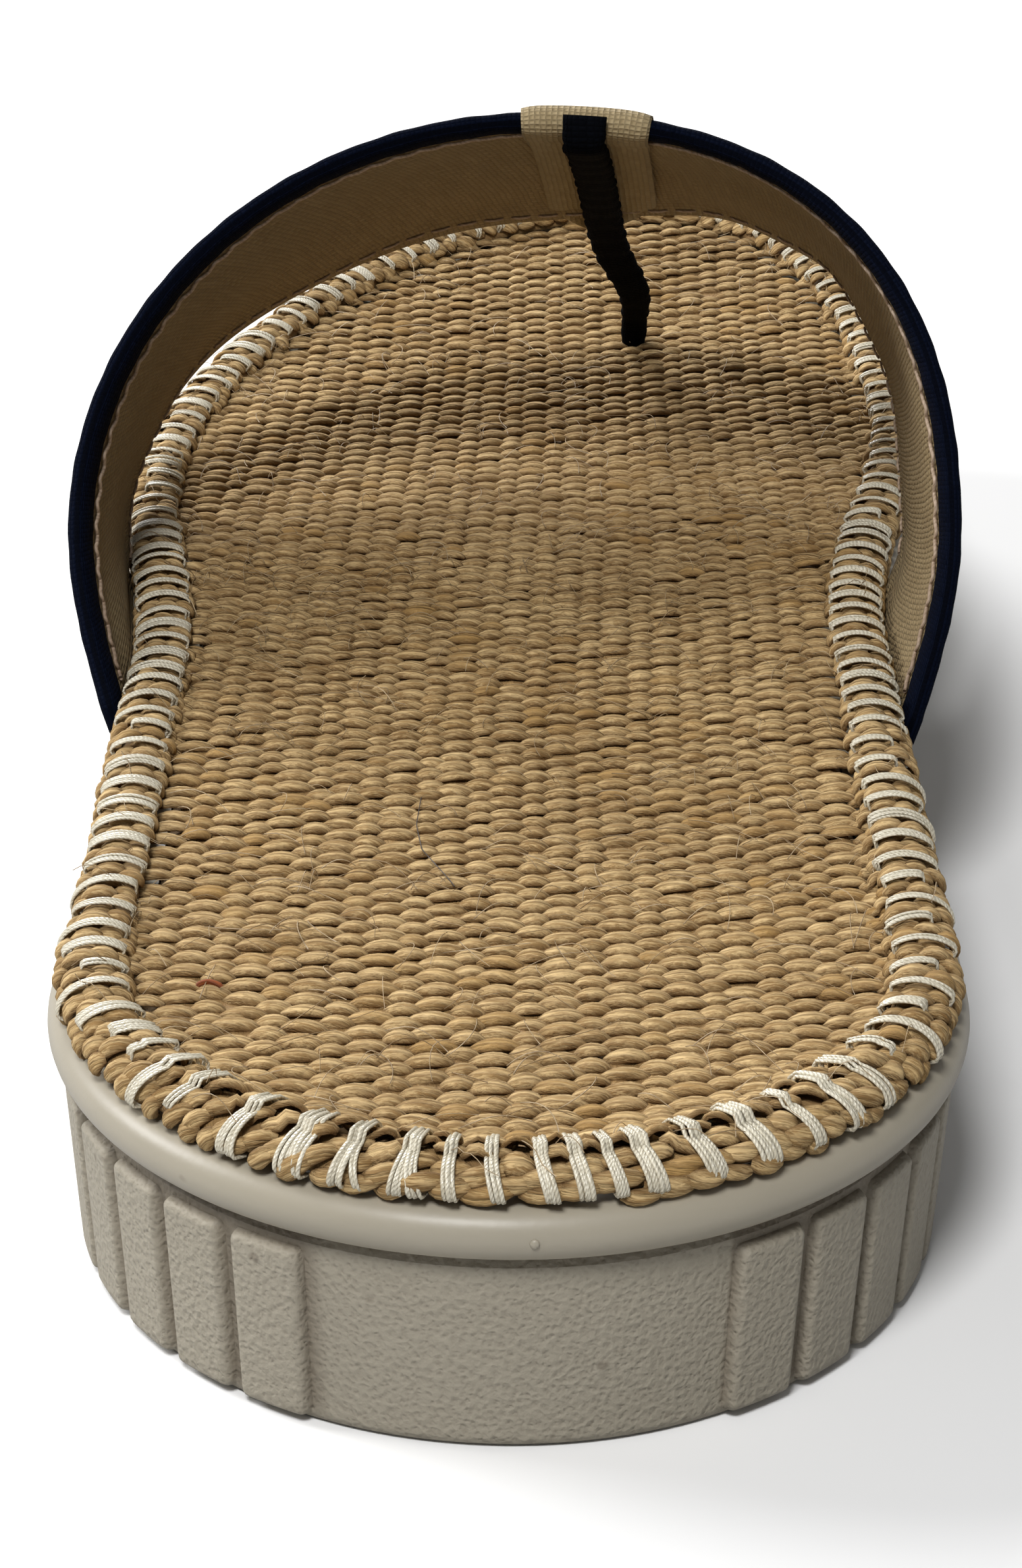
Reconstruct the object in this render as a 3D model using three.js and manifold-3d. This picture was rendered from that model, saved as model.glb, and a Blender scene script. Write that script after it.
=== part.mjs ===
import * as THREE from 'three';
import { mergeVertices } from 'three/addons/utils/BufferGeometryUtils.js';
import Module from 'manifold-3d';

const wasm = await Module();
wasm.setup();

// A left open-toe sandal with a woven jute footbed, a soft arched upper and a toe thong.
// Millimetres. X points to the big-toe side, Y from heel to toe, Z up from the floor.

// Sole outline and heights
const soleLength = 262;
const heelWidth = 72.1;
const waistWidth = 73;
const ballWidth = 88.2;
const heelRound = 42; // length of the round end behind the heel
const toeTipShift = 11.6; // toe tip, off the heel line towards the big toe
const heelHeight = 19.9; // floor to the top of the bead at the heel
const foreHeight = 22.4; // the same at the ball, without the toe spring
const toeSpring = 9.8;
const archRise = 1.5; // lift of the underside at the waist

// Sole side: leaning wall, round bead above it, ribs and the bare heel panel
const baseInset = 2.9; // underside edge, inside the bead's outermost line
const beadRadius = 2.0;
const ribPitch = 7.5;
const ribGap = 1.1;
const ribProud = 0.9;
const ribBevel = 0.6;
const ribFootRise = 1.3; // floor edge to the lower end of a rib
const ribHeadDrop = 5.4; // bead top down to the upper end of a rib
const panelWidth = 33;
const panelShift = 1.6;

// Tread grooves of the underside
const treadWidth = 3;
const treadDepth = 1.4;
const treadPitch = 11;
const treadMargin = 9; // bare border between groove ends and the sole's edge

// Jute footbed and the rolled rim round it
const clearance = 0.3; // between pieces that touch
const rimInset = 0.57; // rim's outer side, inside the bead's outermost line
const rimWidth = 6.36;
const rimRise = 3.53; // rim crest above the bead top
const recessDepth = 1.6; // seat of the footbed, below the bead top
const footbedRise = 1.74; // footbed surface above the bead top, beside the rim
const footbedDish = 0.9; // how much lower its middle lies
const footbedSoftness = 0.5; // rounding of the footbed's upper edge

// Upper: an arched band, its foot beside the rim
const vampWall = 1.3;
const vampSetback = 167; // toe tip back to the collar's foot
const vampSideLength = 40; // along the rim
const archHeight = 44.8; // collar crown above its foot, inside
const collarLead = 46; // collar crown, ahead of the collar's foot
const frontLead = 55; // front edge's crown, ahead of its foot
const sideBulge = 4.45; // widest level, outside the foot
const footAngle = 0; // place of the upper's foot round the rim's section: 0 is the outer side, 90 the crest
const bindingWidth = 4.5;
const bindingProud = 0.3;
const bindingLift = 1; // end of the binding above the upper's foot

// Keeper strap folded over the collar, and the thong that it holds
const keeperWidth = 12.6;
const keeperThickness = 0.8;
const keeperSlack = 0.15; // looseness of keeper and thong over the upper's curve
const keeperOuterReach = 10;
const keeperEase = 3; // way on which keeper and thong come down from the binding to the upper
const keeperTipReach = 3; // pointed end, past the front edge
const keeperShift = 4.4; // middle of the strap at the collar, off the heel line
const thongShift = 6.6; // the same at the front edge
const thongTopWidth = 4.2;
const thongFootWidth = 3;
const thongThickness = 1.8;
const thongTopAngle = 5; // thong's upper end, round the keeper's fold: 90 is the outside, -90 the inside
const thongSetback = 46; // toe tip back to the thong's foot
const thongFootShift = 10.4;

// Each side of the outline: widths as shares of the whole widths, places as shares of the length
const sides = {
  medial: { sign: 1, heel: 0.495, waist: 0.478, ball: 0.489, waistAt: 0.444, ballAt: 0.712, toeRound: 2.45 },
  lateral: { sign: -1, heel: 0.505, waist: 0.522, ball: 0.511, waistAt: 0.377, ballAt: 0.64, toeRound: 1.94 },
};

// Sole wall: inset as a share of the base inset, rise as a share from the floor edge to the bead's underside
const wallRows = [
  { inset: 1.35, rise: 0 },
  { inset: 1.02, rise: 0.05 },
  { inset: 0.66, rise: 0.94 },
  { inset: 0.86, rise: 0.98 },
];
const beadAngles = [-55, -18, 18, 54, 90];

// Sections of the upper, from the collar (0) to the front edge (1).
// rise: share of the arch height; bulges: of the side bulge; crownShift: of the big-toe side's reach;
// bulgeAt: height of the widest level as a share of the section's rise; rounds: exponents of the curve.
const vampRows = [
  { at: 0, rise: 1, lateral: 1, medial: 0.92, crownShift: 0.01, bulgeAt: 0.33, lateralRound: 2, medialRound: 2.35 },
  { at: 0.5, rise: 0.79, lateral: 0.48, medial: 0.66, crownShift: 0.11, bulgeAt: 0.25, lateralRound: 1.96, medialRound: 2.5 },
  { at: 1, rise: 0.54, lateral: 0.03, medial: 0.48, crownShift: 0.235, bulgeAt: 0.18, lateralRound: 1.92, medialRound: 2.8 },
];
const lowerShare = 0.18; // share of each half section that lies below the widest level

// Counts of facets
const sideStations = 44;
const outlineSamples = 400;
const footbedColumns = 6;
const vampColumns = 30;
const vampLengths = 7;
const thongStations = 60;

const smoothstep = (from, to, value) => {
  const share = Math.min(1, Math.max(0, (value - from) / (to - from)));
  return share * share * (3 - 2 * share);
};
const mix = (a, b, share) => a + (b - a) * share;
const radians = (degrees) => (degrees * Math.PI) / 180;

// Heights along the sole
const springAt = (y) => {
  const springStart = 0.62;
  const share = Math.min(1, Math.max(0, (y / soleLength - springStart) / (1 - springStart)));
  return toeSpring * share * share;
};
const groundAt = (y) => {
  const archFrom = 0.28;
  const archTo = 0.5;
  const share = Math.min(1, Math.max(0, (y / soleLength - archFrom) / (archTo - archFrom)));
  return archRise * Math.sin(Math.PI * share) ** 2 + springAt(y);
};
const beadTopAt = (y) => mix(heelHeight, foreHeight, smoothstep(0.15, 0.65, y / soleLength)) + springAt(y);

// Outline: half width of one side at a place along the sole
function halfWidth(side, y) {
  const heel = heelWidth * side.heel;
  const waist = waistWidth * side.waist;
  const ball = ballWidth * side.ball;
  const waistY = side.waistAt * soleLength;
  const ballY = side.ballAt * soleLength;
  if (y < heelRound) {
    return heel * Math.sqrt(Math.max(0, 1 - (1 - y / heelRound) ** 2));
  }
  if (y < waistY) {
    return mix(heel, waist, smoothstep(heelRound, waistY, y));
  }
  if (y < ballY) {
    return mix(waist, ball, smoothstep(waistY, ballY, y));
  }
  const tip = side.sign * toeTipShift;
  const share = Math.min(1, (y - ballY) / (soleLength - ballY));
  return tip + (ball - tip) * (1 - share ** side.toeRound) ** (1 / side.toeRound);
}

// One side as a fine chain of points from heel to toe, with outward normals and running lengths
function traceSide(side) {
  const points = [];
  for (let k = 0; k <= outlineSamples; k += 1) {
    const y = (soleLength * (1 - Math.cos((Math.PI * k) / outlineSamples))) / 2;
    points.push({ x: side.sign * halfWidth(side, y), y, run: 0 });
  }
  points.forEach((point, k) => {
    const before = points[Math.max(0, k - 1)];
    const after = points[Math.min(outlineSamples, k + 1)];
    const dx = after.x - before.x;
    const dy = after.y - before.y;
    const size = Math.hypot(dx, dy);
    point.nx = (side.sign * dy) / size;
    point.ny = (-side.sign * dx) / size;
    if (k > 0) {
      point.run = before.run + Math.hypot(point.x - before.x, point.y - before.y);
    }
  });
  Object.assign(points[0], { nx: 0, ny: -1 });
  Object.assign(points[outlineSamples], { nx: 0, ny: 1 });
  return points;
}
const traces = { medial: traceSide(sides.medial), lateral: traceSide(sides.lateral) };
const sideRun = (trace) => trace[outlineSamples].run;

function pointOnTrace(trace, run) {
  let k = 1;
  while (k < outlineSamples && trace[k].run < run) {
    k += 1;
  }
  const a = trace[k - 1];
  const b = trace[k];
  const share = Math.min(1, Math.max(0, (run - a.run) / (b.run - a.run)));
  const nx = mix(a.nx, b.nx, share);
  const ny = mix(a.ny, b.ny, share);
  const size = Math.hypot(nx, ny);
  return { x: mix(a.x, b.x, share), y: mix(a.y, b.y, share), nx: nx / size, ny: ny / size };
}

// A place on the whole edge, by its distance from the heel's middle, first up the big-toe side
const edgeRun = sideRun(traces.medial) + sideRun(traces.lateral);
function pointOnEdge(distance) {
  const run = ((distance % edgeRun) + edgeRun) % edgeRun;
  if (run <= sideRun(traces.medial)) {
    return pointOnTrace(traces.medial, run);
  }
  return pointOnTrace(traces.lateral, edgeRun - run);
}

// Stations round the edge: heel, big-toe side, toe tip and back along the other side
const stations = [];
for (let i = 0; i < 2 * sideStations; i += 1) {
  const trace = i <= sideStations ? traces.medial : traces.lateral;
  const share = i <= sideStations ? i / sideStations : 2 - i / sideStations;
  stations.push(pointOnTrace(trace, share * sideRun(trace)));
}
const insetPoint = (place, inset, heightAt) => {
  const x = place.x - place.nx * inset;
  const y = place.y - place.ny * inset;
  return [x, y, heightAt(y)];
};
const ring = (inset, heightAt) => stations.map((place) => insetPoint(place, inset, heightAt));

// Triangles of one closed surface, gathered by corners and joined where corners meet
class Surface {
  constructor() {
    this.corners = [];
  }

  triangle(a, b, c) {
    this.corners.push(...a, ...b, ...c);
  }

  quad(a, b, c, d) {
    this.triangle(a, b, c);
    this.triangle(a, c, d);
  }

  // Band between two rings with as many points, the second one above or inside the first
  band(lower, upper) {
    lower.forEach((point, i) => {
      const next = (i + 1) % lower.length;
      this.quad(point, lower[next], upper[next], upper[i]);
    });
  }

  // Fan over a small closed section
  fan(section, reversed) {
    for (let i = 1; i < section.length - 1; i += 1) {
      if (reversed) {
        this.triangle(section[0], section[i + 1], section[i]);
      } else {
        this.triangle(section[0], section[i], section[i + 1]);
      }
    }
  }

  // Floor or deck across a ring of the stations, in strips from one side to the other
  deck(edge, facesUp, columns, heightOf) {
    const strip = [];
    for (let i = 0; i <= sideStations; i += 1) {
      const right = edge[i];
      const left = edge[(2 * sideStations - i) % (2 * sideStations)];
      const row = [];
      for (let c = 0; c <= columns; c += 1) {
        const share = c / columns;
        const point = [0, 1, 2].map((axis) => mix(right[axis], left[axis], share));
        row.push(c === 0 ? right : c === columns ? left : heightOf(point, share, i));
      }
      strip.push(i === 0 || i === sideStations ? [right] : row);
    }
    for (let i = 0; i < sideStations; i += 1) {
      for (let c = 0; c < columns; c += 1) {
        const pick = (row, column) => row[Math.min(column, row.length - 1)];
        const a = pick(strip[i], c);
        const b = pick(strip[i + 1], c);
        const d = pick(strip[i + 1], c + 1);
        const e = pick(strip[i], c + 1);
        const faces = [];
        if (b !== d) {
          faces.push([a, b, d]);
        }
        if (a !== e) {
          faces.push([a, d, e]);
        }
        faces.forEach(([p, q, r]) => (facesUp ? this.triangle(p, q, r) : this.triangle(p, r, q)));
      }
    }
  }

  geometry() {
    const loose = new THREE.BufferGeometry();
    loose.setAttribute('position', new THREE.Float32BufferAttribute(this.corners, 3));
    return mergeVertices(loose, 1e-4);
  }
}
const keepHeight = (point) => point;

function toManifold(geometry) {
  const vertProperties = Float32Array.from(geometry.attributes.position.array);
  const triVerts = Uint32Array.from(geometry.index.array);
  return new wasm.Manifold(new wasm.Mesh({ numProp: 3, vertProperties, triVerts }));
}

function fromManifold(solid) {
  const mesh = solid.getMesh();
  const geometry = new THREE.BufferGeometry();
  geometry.setAttribute('position', new THREE.Float32BufferAttribute(mesh.vertProperties, 3));
  geometry.setIndex(new THREE.BufferAttribute(mesh.triVerts, 1));
  return geometry;
}

// A block from two four-cornered faces, the second one in front of the first
function block(back, front) {
  const surface = new Surface();
  surface.fan(back, true);
  surface.fan(front, false);
  surface.band(back, front);
  return toManifold(surface.geometry());
}

// Outsole body: leaning wall, neck, round bead, flat deck and the footbed's seat
const beadUnderside = (y) => beadTopAt(y) - 2 * beadRadius;
const wallHeight = (y, rise) => mix(groundAt(y), beadUnderside(y), rise);
const recessInset = rimInset + rimWidth;

function outsoleBody() {
  const rings = wallRows.map((row) => ring(baseInset * row.inset, (y) => wallHeight(y, row.rise)));
  beadAngles.forEach((degrees) => {
    const angle = radians(degrees);
    const lift = beadRadius * (Math.sin(angle) - 1);
    rings.push(ring(beadRadius * (1 - Math.cos(angle)), (y) => beadTopAt(y) + lift));
  });
  rings.push(ring(recessInset, beadTopAt));
  rings.push(ring(recessInset, (y) => beadTopAt(y) - recessDepth));
  const surface = new Surface();
  for (let k = 1; k < rings.length; k += 1) {
    surface.band(rings[k - 1], rings[k]);
  }
  surface.deck(rings[0], false, 1, keepHeight);
  surface.deck(rings[rings.length - 1], true, 1, keepHeight);
  return toManifold(surface.geometry());
}

// One rib: a bevelled pad that stands proud of the wall
function rib(distance, width) {
  const sink = 1;
  const outline = (inset, trim) => {
    const from = pointOnEdge(distance - width / 2 + trim);
    const to = pointOnEdge(distance + width / 2 - trim);
    const wallTop = inset + baseInset * wallRows[2].inset;
    const wallFoot = inset + baseInset * wallRows[1].inset;
    const foot = (y) => groundAt(y) + ribFootRise + trim;
    const head = (y) => beadTopAt(y) - ribHeadDrop - trim;
    return [
      insetPoint(from, wallFoot, foot),
      insetPoint(to, wallFoot, foot),
      insetPoint(to, wallTop, head),
      insetPoint(from, wallTop, head),
    ];
  };
  return block(outline(sink, 0), outline(-ribProud, ribBevel));
}

function ribs() {
  const run = edgeRun - panelWidth;
  const count = Math.round(run / ribPitch);
  const pitch = run / count;
  const pads = [];
  for (let i = 0; i < count; i += 1) {
    pads.push(rib(panelShift + panelWidth / 2 + pitch * (i + 0.5), pitch - ribGap));
  }
  return pads;
}

// One groove across the underside
function treadGroove(y) {
  const corners = (z) => [
    [-(halfWidth(sides.lateral, y) - treadMargin), y - treadWidth / 2, z],
    [halfWidth(sides.medial, y) - treadMargin, y - treadWidth / 2, z],
    [halfWidth(sides.medial, y) - treadMargin, y + treadWidth / 2, z],
    [-(halfWidth(sides.lateral, y) - treadMargin), y + treadWidth / 2, z],
  ];
  return block(corners(groundAt(y) - treadDepth), corners(groundAt(y) + treadDepth));
}

function treadGrooves() {
  const zones = [
    { from: 0.06, to: 0.26 },
    { from: 0.53, to: 0.86 },
  ];
  const grooves = [];
  zones.forEach((zone) => {
    for (let y = zone.from * soleLength; y <= zone.to * soleLength; y += treadPitch) {
      grooves.push(treadGroove(y));
    }
  });
  return grooves;
}

function outsoleGeometry() {
  const body = wasm.Manifold.union([outsoleBody(), ...ribs()]);
  return fromManifold(body.subtract(wasm.Manifold.union(treadGrooves())));
}

// Footbed: a woven pad in the sole's seat, a little lower in its middle
const footbedInset = recessInset + clearance;
const dishAt = (across, along) => footbedDish * (1 - (2 * across - 1) ** 2) * Math.sqrt(Math.sin(Math.PI * along));
function footbedTopAt(x, y) {
  const left = halfWidth(sides.lateral, y) - footbedInset;
  const right = halfWidth(sides.medial, y) - footbedInset;
  const across = Math.min(1, Math.max(0, (right - x) / (left + right)));
  return beadTopAt(y) + footbedRise - dishAt(across, y / soleLength);
}

function footbedGeometry() {
  const bottom = ring(footbedInset, (y) => beadTopAt(y) - recessDepth + clearance);
  const middle = ring(footbedInset, (y) => beadTopAt(y) + footbedRise - footbedSoftness);
  const top = ring(footbedInset + footbedSoftness, (y) => beadTopAt(y) + footbedRise);
  const surface = new Surface();
  surface.band(bottom, middle);
  surface.band(middle, top);
  surface.deck(bottom, false, 1, keepHeight);
  surface.deck(top, true, footbedColumns, (point, across, i) => {
    const dip = dishAt(across, i / sideStations);
    return [point[0], point[1], beadTopAt(point[1]) + footbedRise - dip];
  });
  return surface.geometry();
}

// Rim: a rolled edge with a flat underside, all round the footbed
const rimRadius = rimWidth / 2;
const rimCentreRise = 0.34 * (rimRise - clearance) + clearance / 2;
const rimAngles = [-18, 8, 34, 60, 90, 120, 146, 172, 198];
function rimSection(degrees, away) {
  const angle = radians(degrees);
  const inset = rimInset + rimRadius - (rimRadius + away) * Math.cos(angle);
  const rise = rimCentreRise + (rimRise - rimCentreRise + away) * Math.sin(angle);
  return { inset, rise: Math.max(clearance, rise) };
}

function rimGeometry() {
  const rings = rimAngles.map((degrees) => {
    const { inset, rise } = rimSection(degrees, 0);
    return ring(inset, (y) => beadTopAt(y) + rise);
  });
  const surface = new Surface();
  rings.forEach((current, k) => surface.band(current, rings[(k + 1) % rings.length]));
  return surface.geometry();
}

// Upper. A column of the section table at a place between collar and front edge
function vampValue(column, v) {
  const [a, b, c] = vampRows;
  const atA = ((v - b.at) * (v - c.at)) / ((a.at - b.at) * (a.at - c.at));
  const atB = ((v - a.at) * (v - c.at)) / ((b.at - a.at) * (b.at - c.at));
  const atC = ((v - a.at) * (v - b.at)) / ((c.at - a.at) * (c.at - b.at));
  return a[column] * atA + b[column] * atB + c[column] * atC;
}

// The upper's foot: its inside corner, just off the rim's outer side
function vampFoot(side, v) {
  const y = soleLength - vampSetback + vampSideLength * v;
  const offRim = rimSection(footAngle, clearance * 1.3);
  const reach = halfWidth(side, y) - offRim.inset;
  return { reach, y, z: beadTopAt(y) + offRim.rise };
}

// Inside surface of the upper. u runs from the outer foot (0) over the crown to the big-toe foot (1)
function archPoint(u, v) {
  const isLateral = u < 0.5;
  const side = isLateral ? sides.lateral : sides.medial;
  const climb = isLateral ? 2 * u : 2 * (1 - u);
  const foot = vampFoot(side, v);
  const bulge = sideBulge * vampValue(isLateral ? 'lateral' : 'medial', v);
  const medialReach = vampFoot(sides.medial, v).reach + sideBulge * vampValue('medial', v);
  const crownX = medialReach * vampValue('crownShift', v);
  const widest = side.sign * (foot.reach + bulge);
  const rise = archHeight * vampValue('rise', v);
  const bulgeZ = foot.z + rise * vampValue('bulgeAt', v);
  const crownZ = foot.z + rise;
  let x;
  let z;
  if (climb < lowerShare) {
    const share = climb / lowerShare;
    x = side.sign * (foot.reach + bulge * Math.sin((share * Math.PI) / 2));
    z = mix(foot.z, bulgeZ, share);
  } else {
    const angle = (((climb - lowerShare) / (1 - lowerShare)) * Math.PI) / 2;
    const power = 2 / vampValue(isLateral ? 'lateralRound' : 'medialRound', v);
    x = crownX + (widest - crownX) * Math.max(0, Math.cos(angle)) ** power;
    z = bulgeZ + (crownZ - bulgeZ) * Math.sin(angle) ** power;
  }
  const lead = mix(collarLead, frontLead, v);
  const y = foot.y + (lead * (z - foot.z)) / rise;
  return new THREE.Vector3(x, y, z);
}

function archNormal(u, v) {
  const step = 0.004;
  const low = Math.max(0, u - step);
  const high = Math.min(1, u + step);
  const across = archPoint(high, v).sub(archPoint(low, v));
  const along = archPoint(u, v + step).sub(archPoint(u, v - step));
  return across.cross(along).normalize();
}
const archRun = (u) => archPoint(u, 1).distanceTo(archPoint(u, 0));

// A point of the upper by its distance from the collar edge and its depth outside the lining
function vampPoint(u, distance, depth) {
  const v = distance / archRun(u);
  const point = archPoint(u, v).addScaledVector(archNormal(u, Math.min(1, Math.max(0, v))), depth);
  return [point.x, point.y, point.z];
}

function vampGeometry() {
  const start = bindingWidth + clearance;
  const grid = (depth) => {
    const rows = [];
    for (let i = 0; i <= vampColumns; i += 1) {
      const u = i / vampColumns;
      const run = archRun(u);
      const row = [];
      for (let j = 0; j <= vampLengths; j += 1) {
        row.push(vampPoint(u, mix(start, run, j / vampLengths), depth));
      }
      rows.push(row);
    }
    return rows;
  };
  const inside = grid(0);
  const outside = grid(vampWall);
  const surface = new Surface();
  for (let i = 0; i < vampColumns; i += 1) {
    for (let j = 0; j < vampLengths; j += 1) {
      surface.quad(outside[i][j], outside[i + 1][j], outside[i + 1][j + 1], outside[i][j + 1]);
      surface.quad(inside[i][j], inside[i][j + 1], inside[i + 1][j + 1], inside[i + 1][j]);
    }
    const end = vampLengths;
    surface.quad(inside[i][0], inside[i + 1][0], outside[i + 1][0], outside[i][0]);
    surface.quad(inside[i][end], outside[i][end], outside[i + 1][end], inside[i + 1][end]);
  }
  for (let j = 0; j < vampLengths; j += 1) {
    const last = vampColumns;
    surface.quad(inside[0][j], outside[0][j], outside[0][j + 1], inside[0][j + 1]);
    surface.quad(inside[last][j], inside[last][j + 1], outside[last][j + 1], outside[last][j]);
  }
  return surface.geometry();
}

// A bar through a row of like sections, closed at both ends
function barGeometry(sections) {
  const surface = new Surface();
  for (let k = 1; k < sections.length; k += 1) {
    surface.band(sections[k - 1], sections[k]);
  }
  surface.fan(sections[0], true);
  surface.fan(sections[sections.length - 1], false);
  return surface.geometry();
}

// Collar binding: a rounded strip along the upper's rear edge
function bindingGeometry() {
  const shoulder = bindingWidth * 0.2;
  const section = [
    [0, 0],
    [shoulder, -bindingProud],
    [bindingWidth - shoulder, -bindingProud],
    [bindingWidth, 0],
    [bindingWidth, vampWall],
    [bindingWidth - shoulder, vampWall + bindingProud],
    [shoulder, vampWall + bindingProud],
    [0, vampWall],
  ];
  const lowRise = archHeight * vampRows[0].rise * vampRows[0].bulgeAt;
  const startU = (lowerShare * bindingLift) / lowRise / 2;
  const sections = [];
  for (let i = 0; i <= vampColumns; i += 1) {
    const u = mix(startU, 1 - startU, i / vampColumns);
    sections.push(section.map(([distance, depth]) => vampPoint(u, distance, depth)));
  }
  return barGeometry(sections);
}

// The crown line that keeper and thong follow, from the collar to the front edge
function crownU(x, v) {
  let low = 0.15;
  let high = 0.85;
  for (let k = 0; k < 30; k += 1) {
    const middle = (low + high) / 2;
    if (archPoint(middle, v).x < x) {
      low = middle;
    } else {
      high = middle;
    }
  }
  return (low + high) / 2;
}
const crownRun = archRun(crownU((keeperShift + thongShift) / 2, 0.5));
function crownPoint(distance, across, depth) {
  const v = distance / crownRun;
  const x = mix(keeperShift, thongShift, v) + across;
  return vampPoint(crownU(x, v), distance, depth);
}

// Keeper: up the outside, round the collar edge, down the inside to a point below the front edge
const overVamp = clearance + keeperSlack + keeperThickness / 2;
const overBinding = bindingProud + overVamp;
const clearOfBinding = bindingWidth + keeperEase;
// A point round the fold, by its angle and by how far it lies outside the binding's skin
function foldPoint(degrees, away) {
  const foldMiddle = bindingWidth * 0.2;
  const angle = radians(degrees);
  return {
    distance: foldMiddle - (foldMiddle + away) * Math.cos(angle),
    depth: vampWall / 2 + (vampWall / 2 + bindingProud + away) * Math.sin(angle),
  };
}
function keeperPath() {
  const half = keeperWidth / 2;
  const path = [
    { distance: keeperOuterReach, depth: vampWall + overVamp, half },
    { distance: clearOfBinding, depth: vampWall + overVamp, half },
    { distance: bindingWidth, depth: vampWall + overBinding, half },
  ];
  for (let degrees = 90; degrees >= -90; degrees -= 15) {
    path.push({ ...foldPoint(degrees, overVamp), half });
  }
  path.push({ distance: bindingWidth, depth: -overBinding, half });
  path.push({ distance: clearOfBinding, depth: -overVamp, half });
  const taperFrom = crownRun - keeperWidth / 2;
  const steps = 5;
  for (let k = 1; k <= steps; k += 1) {
    path.push({ distance: mix(clearOfBinding, taperFrom, k / steps), depth: -overVamp, half: half * 0.95 });
  }
  path.push({ distance: crownRun, depth: -overVamp, half: half * 0.62 });
  path.push({ distance: crownRun + keeperTipReach, depth: -overVamp, half: thongTopWidth / 2 });
  return path;
}

function keeperGeometry() {
  const path = keeperPath();
  const sections = path.map((place, k) => {
    const before = path[Math.max(0, k - 1)];
    const after = path[Math.min(path.length - 1, k + 1)];
    const alongDistance = after.distance - before.distance;
    const alongDepth = after.depth - before.depth;
    const size = Math.hypot(alongDistance, alongDepth);
    const shift = (amount) => [
      place.distance - (alongDepth / size) * amount,
      place.depth + (alongDistance / size) * amount,
    ];
    const face = (amount, columns) => columns.map((across) => {
      const [distance, depth] = shift(amount);
      return crownPoint(distance, across * place.half, depth);
    });
    return [...face(keeperThickness / 2, [-1, 0, 1]), ...face(-keeperThickness / 2, [1, 0, -1])];
  });
  return barGeometry(sections);
}

// Thong: a flat cord round the keeper's fold and on its inner face, then free down into the footbed
const thongDepth = overVamp + keeperThickness / 2 + clearance + keeperSlack + thongThickness / 2;
const thongTopDepth = thongDepth + bindingProud;
const thongFoot = () => {
  const y = soleLength - thongSetback;
  const z = footbedTopAt(thongFootShift, y + thongThickness / 2) + clearance;
  return new THREE.Vector3(thongFootShift, y, z);
};

function thongCurve() {
  const points = [];
  const foldSteps = 5;
  for (let k = 0; k < foldSteps; k += 1) {
    const place = foldPoint(mix(thongTopAngle, -90, k / foldSteps), thongDepth);
    points.push(crownPoint(place.distance, 0, place.depth));
  }
  points.push(crownPoint(bindingWidth * 0.6, 0, -thongTopDepth));
  points.push(crownPoint(bindingWidth, 0, -thongTopDepth));
  const lyingTo = crownRun * 0.88;
  const steps = 7;
  for (let k = 0; k <= steps; k += 1) {
    points.push(crownPoint(mix(clearOfBinding, lyingTo, k / steps), 0, -thongDepth));
  }
  points.forEach((point, k) => {
    points[k] = new THREE.Vector3(...point);
  });
  const leave = points[points.length - 1];
  const foot = thongFoot();
  // Shares of the way from the upper to the foot: sideways, forward and down
  const freeWay = [
    { across: 0.3, along: 0.36, down: 0.29 },
    { across: 0.96, along: 0.66, down: 0.6 },
    { across: 1.02, along: 0.94, down: 0.86 },
    { across: 1, along: 1, down: 1 },
  ];
  freeWay.forEach(({ across, along, down }) => {
    const x = mix(leave.x, foot.x, across);
    const y = mix(leave.y, foot.y, along);
    points.push(new THREE.Vector3(x, y, mix(leave.z, foot.z, down)));
  });
  return new THREE.CatmullRomCurve3(points, false, 'centripetal');
}

function thongGeometry() {
  const curve = thongCurve();
  const outline = [
    [1, 0.45],
    [0.6, 1],
    [-0.6, 1],
    [-1, 0.45],
    [-1, -0.45],
    [-0.6, -1],
    [0.6, -1],
    [1, -0.45],
  ];
  const sections = [];
  for (let k = 0; k <= thongStations; k += 1) {
    const share = k / thongStations;
    const centre = curve.getPointAt(share);
    const tangent = k === thongStations ? new THREE.Vector3(0, 0, -1) : curve.getTangentAt(share);
    const across = new THREE.Vector3(1, 0, 0).addScaledVector(tangent, -tangent.x).normalize();
    const up = new THREE.Vector3().crossVectors(tangent, across).normalize();
    const halfWide = mix(thongTopWidth, thongFootWidth, smoothstep(0.45, 0.85, share)) / 2;
    sections.push(outline.map(([wide, thick]) => {
      const point = centre.clone().addScaledVector(across, wide * halfWide);
      point.addScaledVector(up, (thick * thongThickness) / 2);
      return [point.x, point.y, point.z];
    }));
  }
  return barGeometry(sections);
}

// Finishes
const rubber = new THREE.MeshStandardMaterial({ color: 0xc9c1ae, roughness: 0.55, metalness: 0 });
const juteWeave = new THREE.MeshStandardMaterial({ color: 0xb08d5c, roughness: 0.95, metalness: 0 });
const juteRoll = new THREE.MeshStandardMaterial({ color: 0xb9996a, roughness: 0.95, metalness: 0 });
const lining = new THREE.MeshStandardMaterial({ color: 0xa08a60, roughness: 0.95, metalness: 0 });
const navyTape = new THREE.MeshStandardMaterial({ color: 0x0b1426, roughness: 0.85, metalness: 0 });
const tanTape = new THREE.MeshStandardMaterial({ color: 0xa8905f, roughness: 0.9, metalness: 0 });
const darkCord = new THREE.MeshStandardMaterial({ color: 0x070b14, roughness: 0.85, metalness: 0 });

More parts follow.
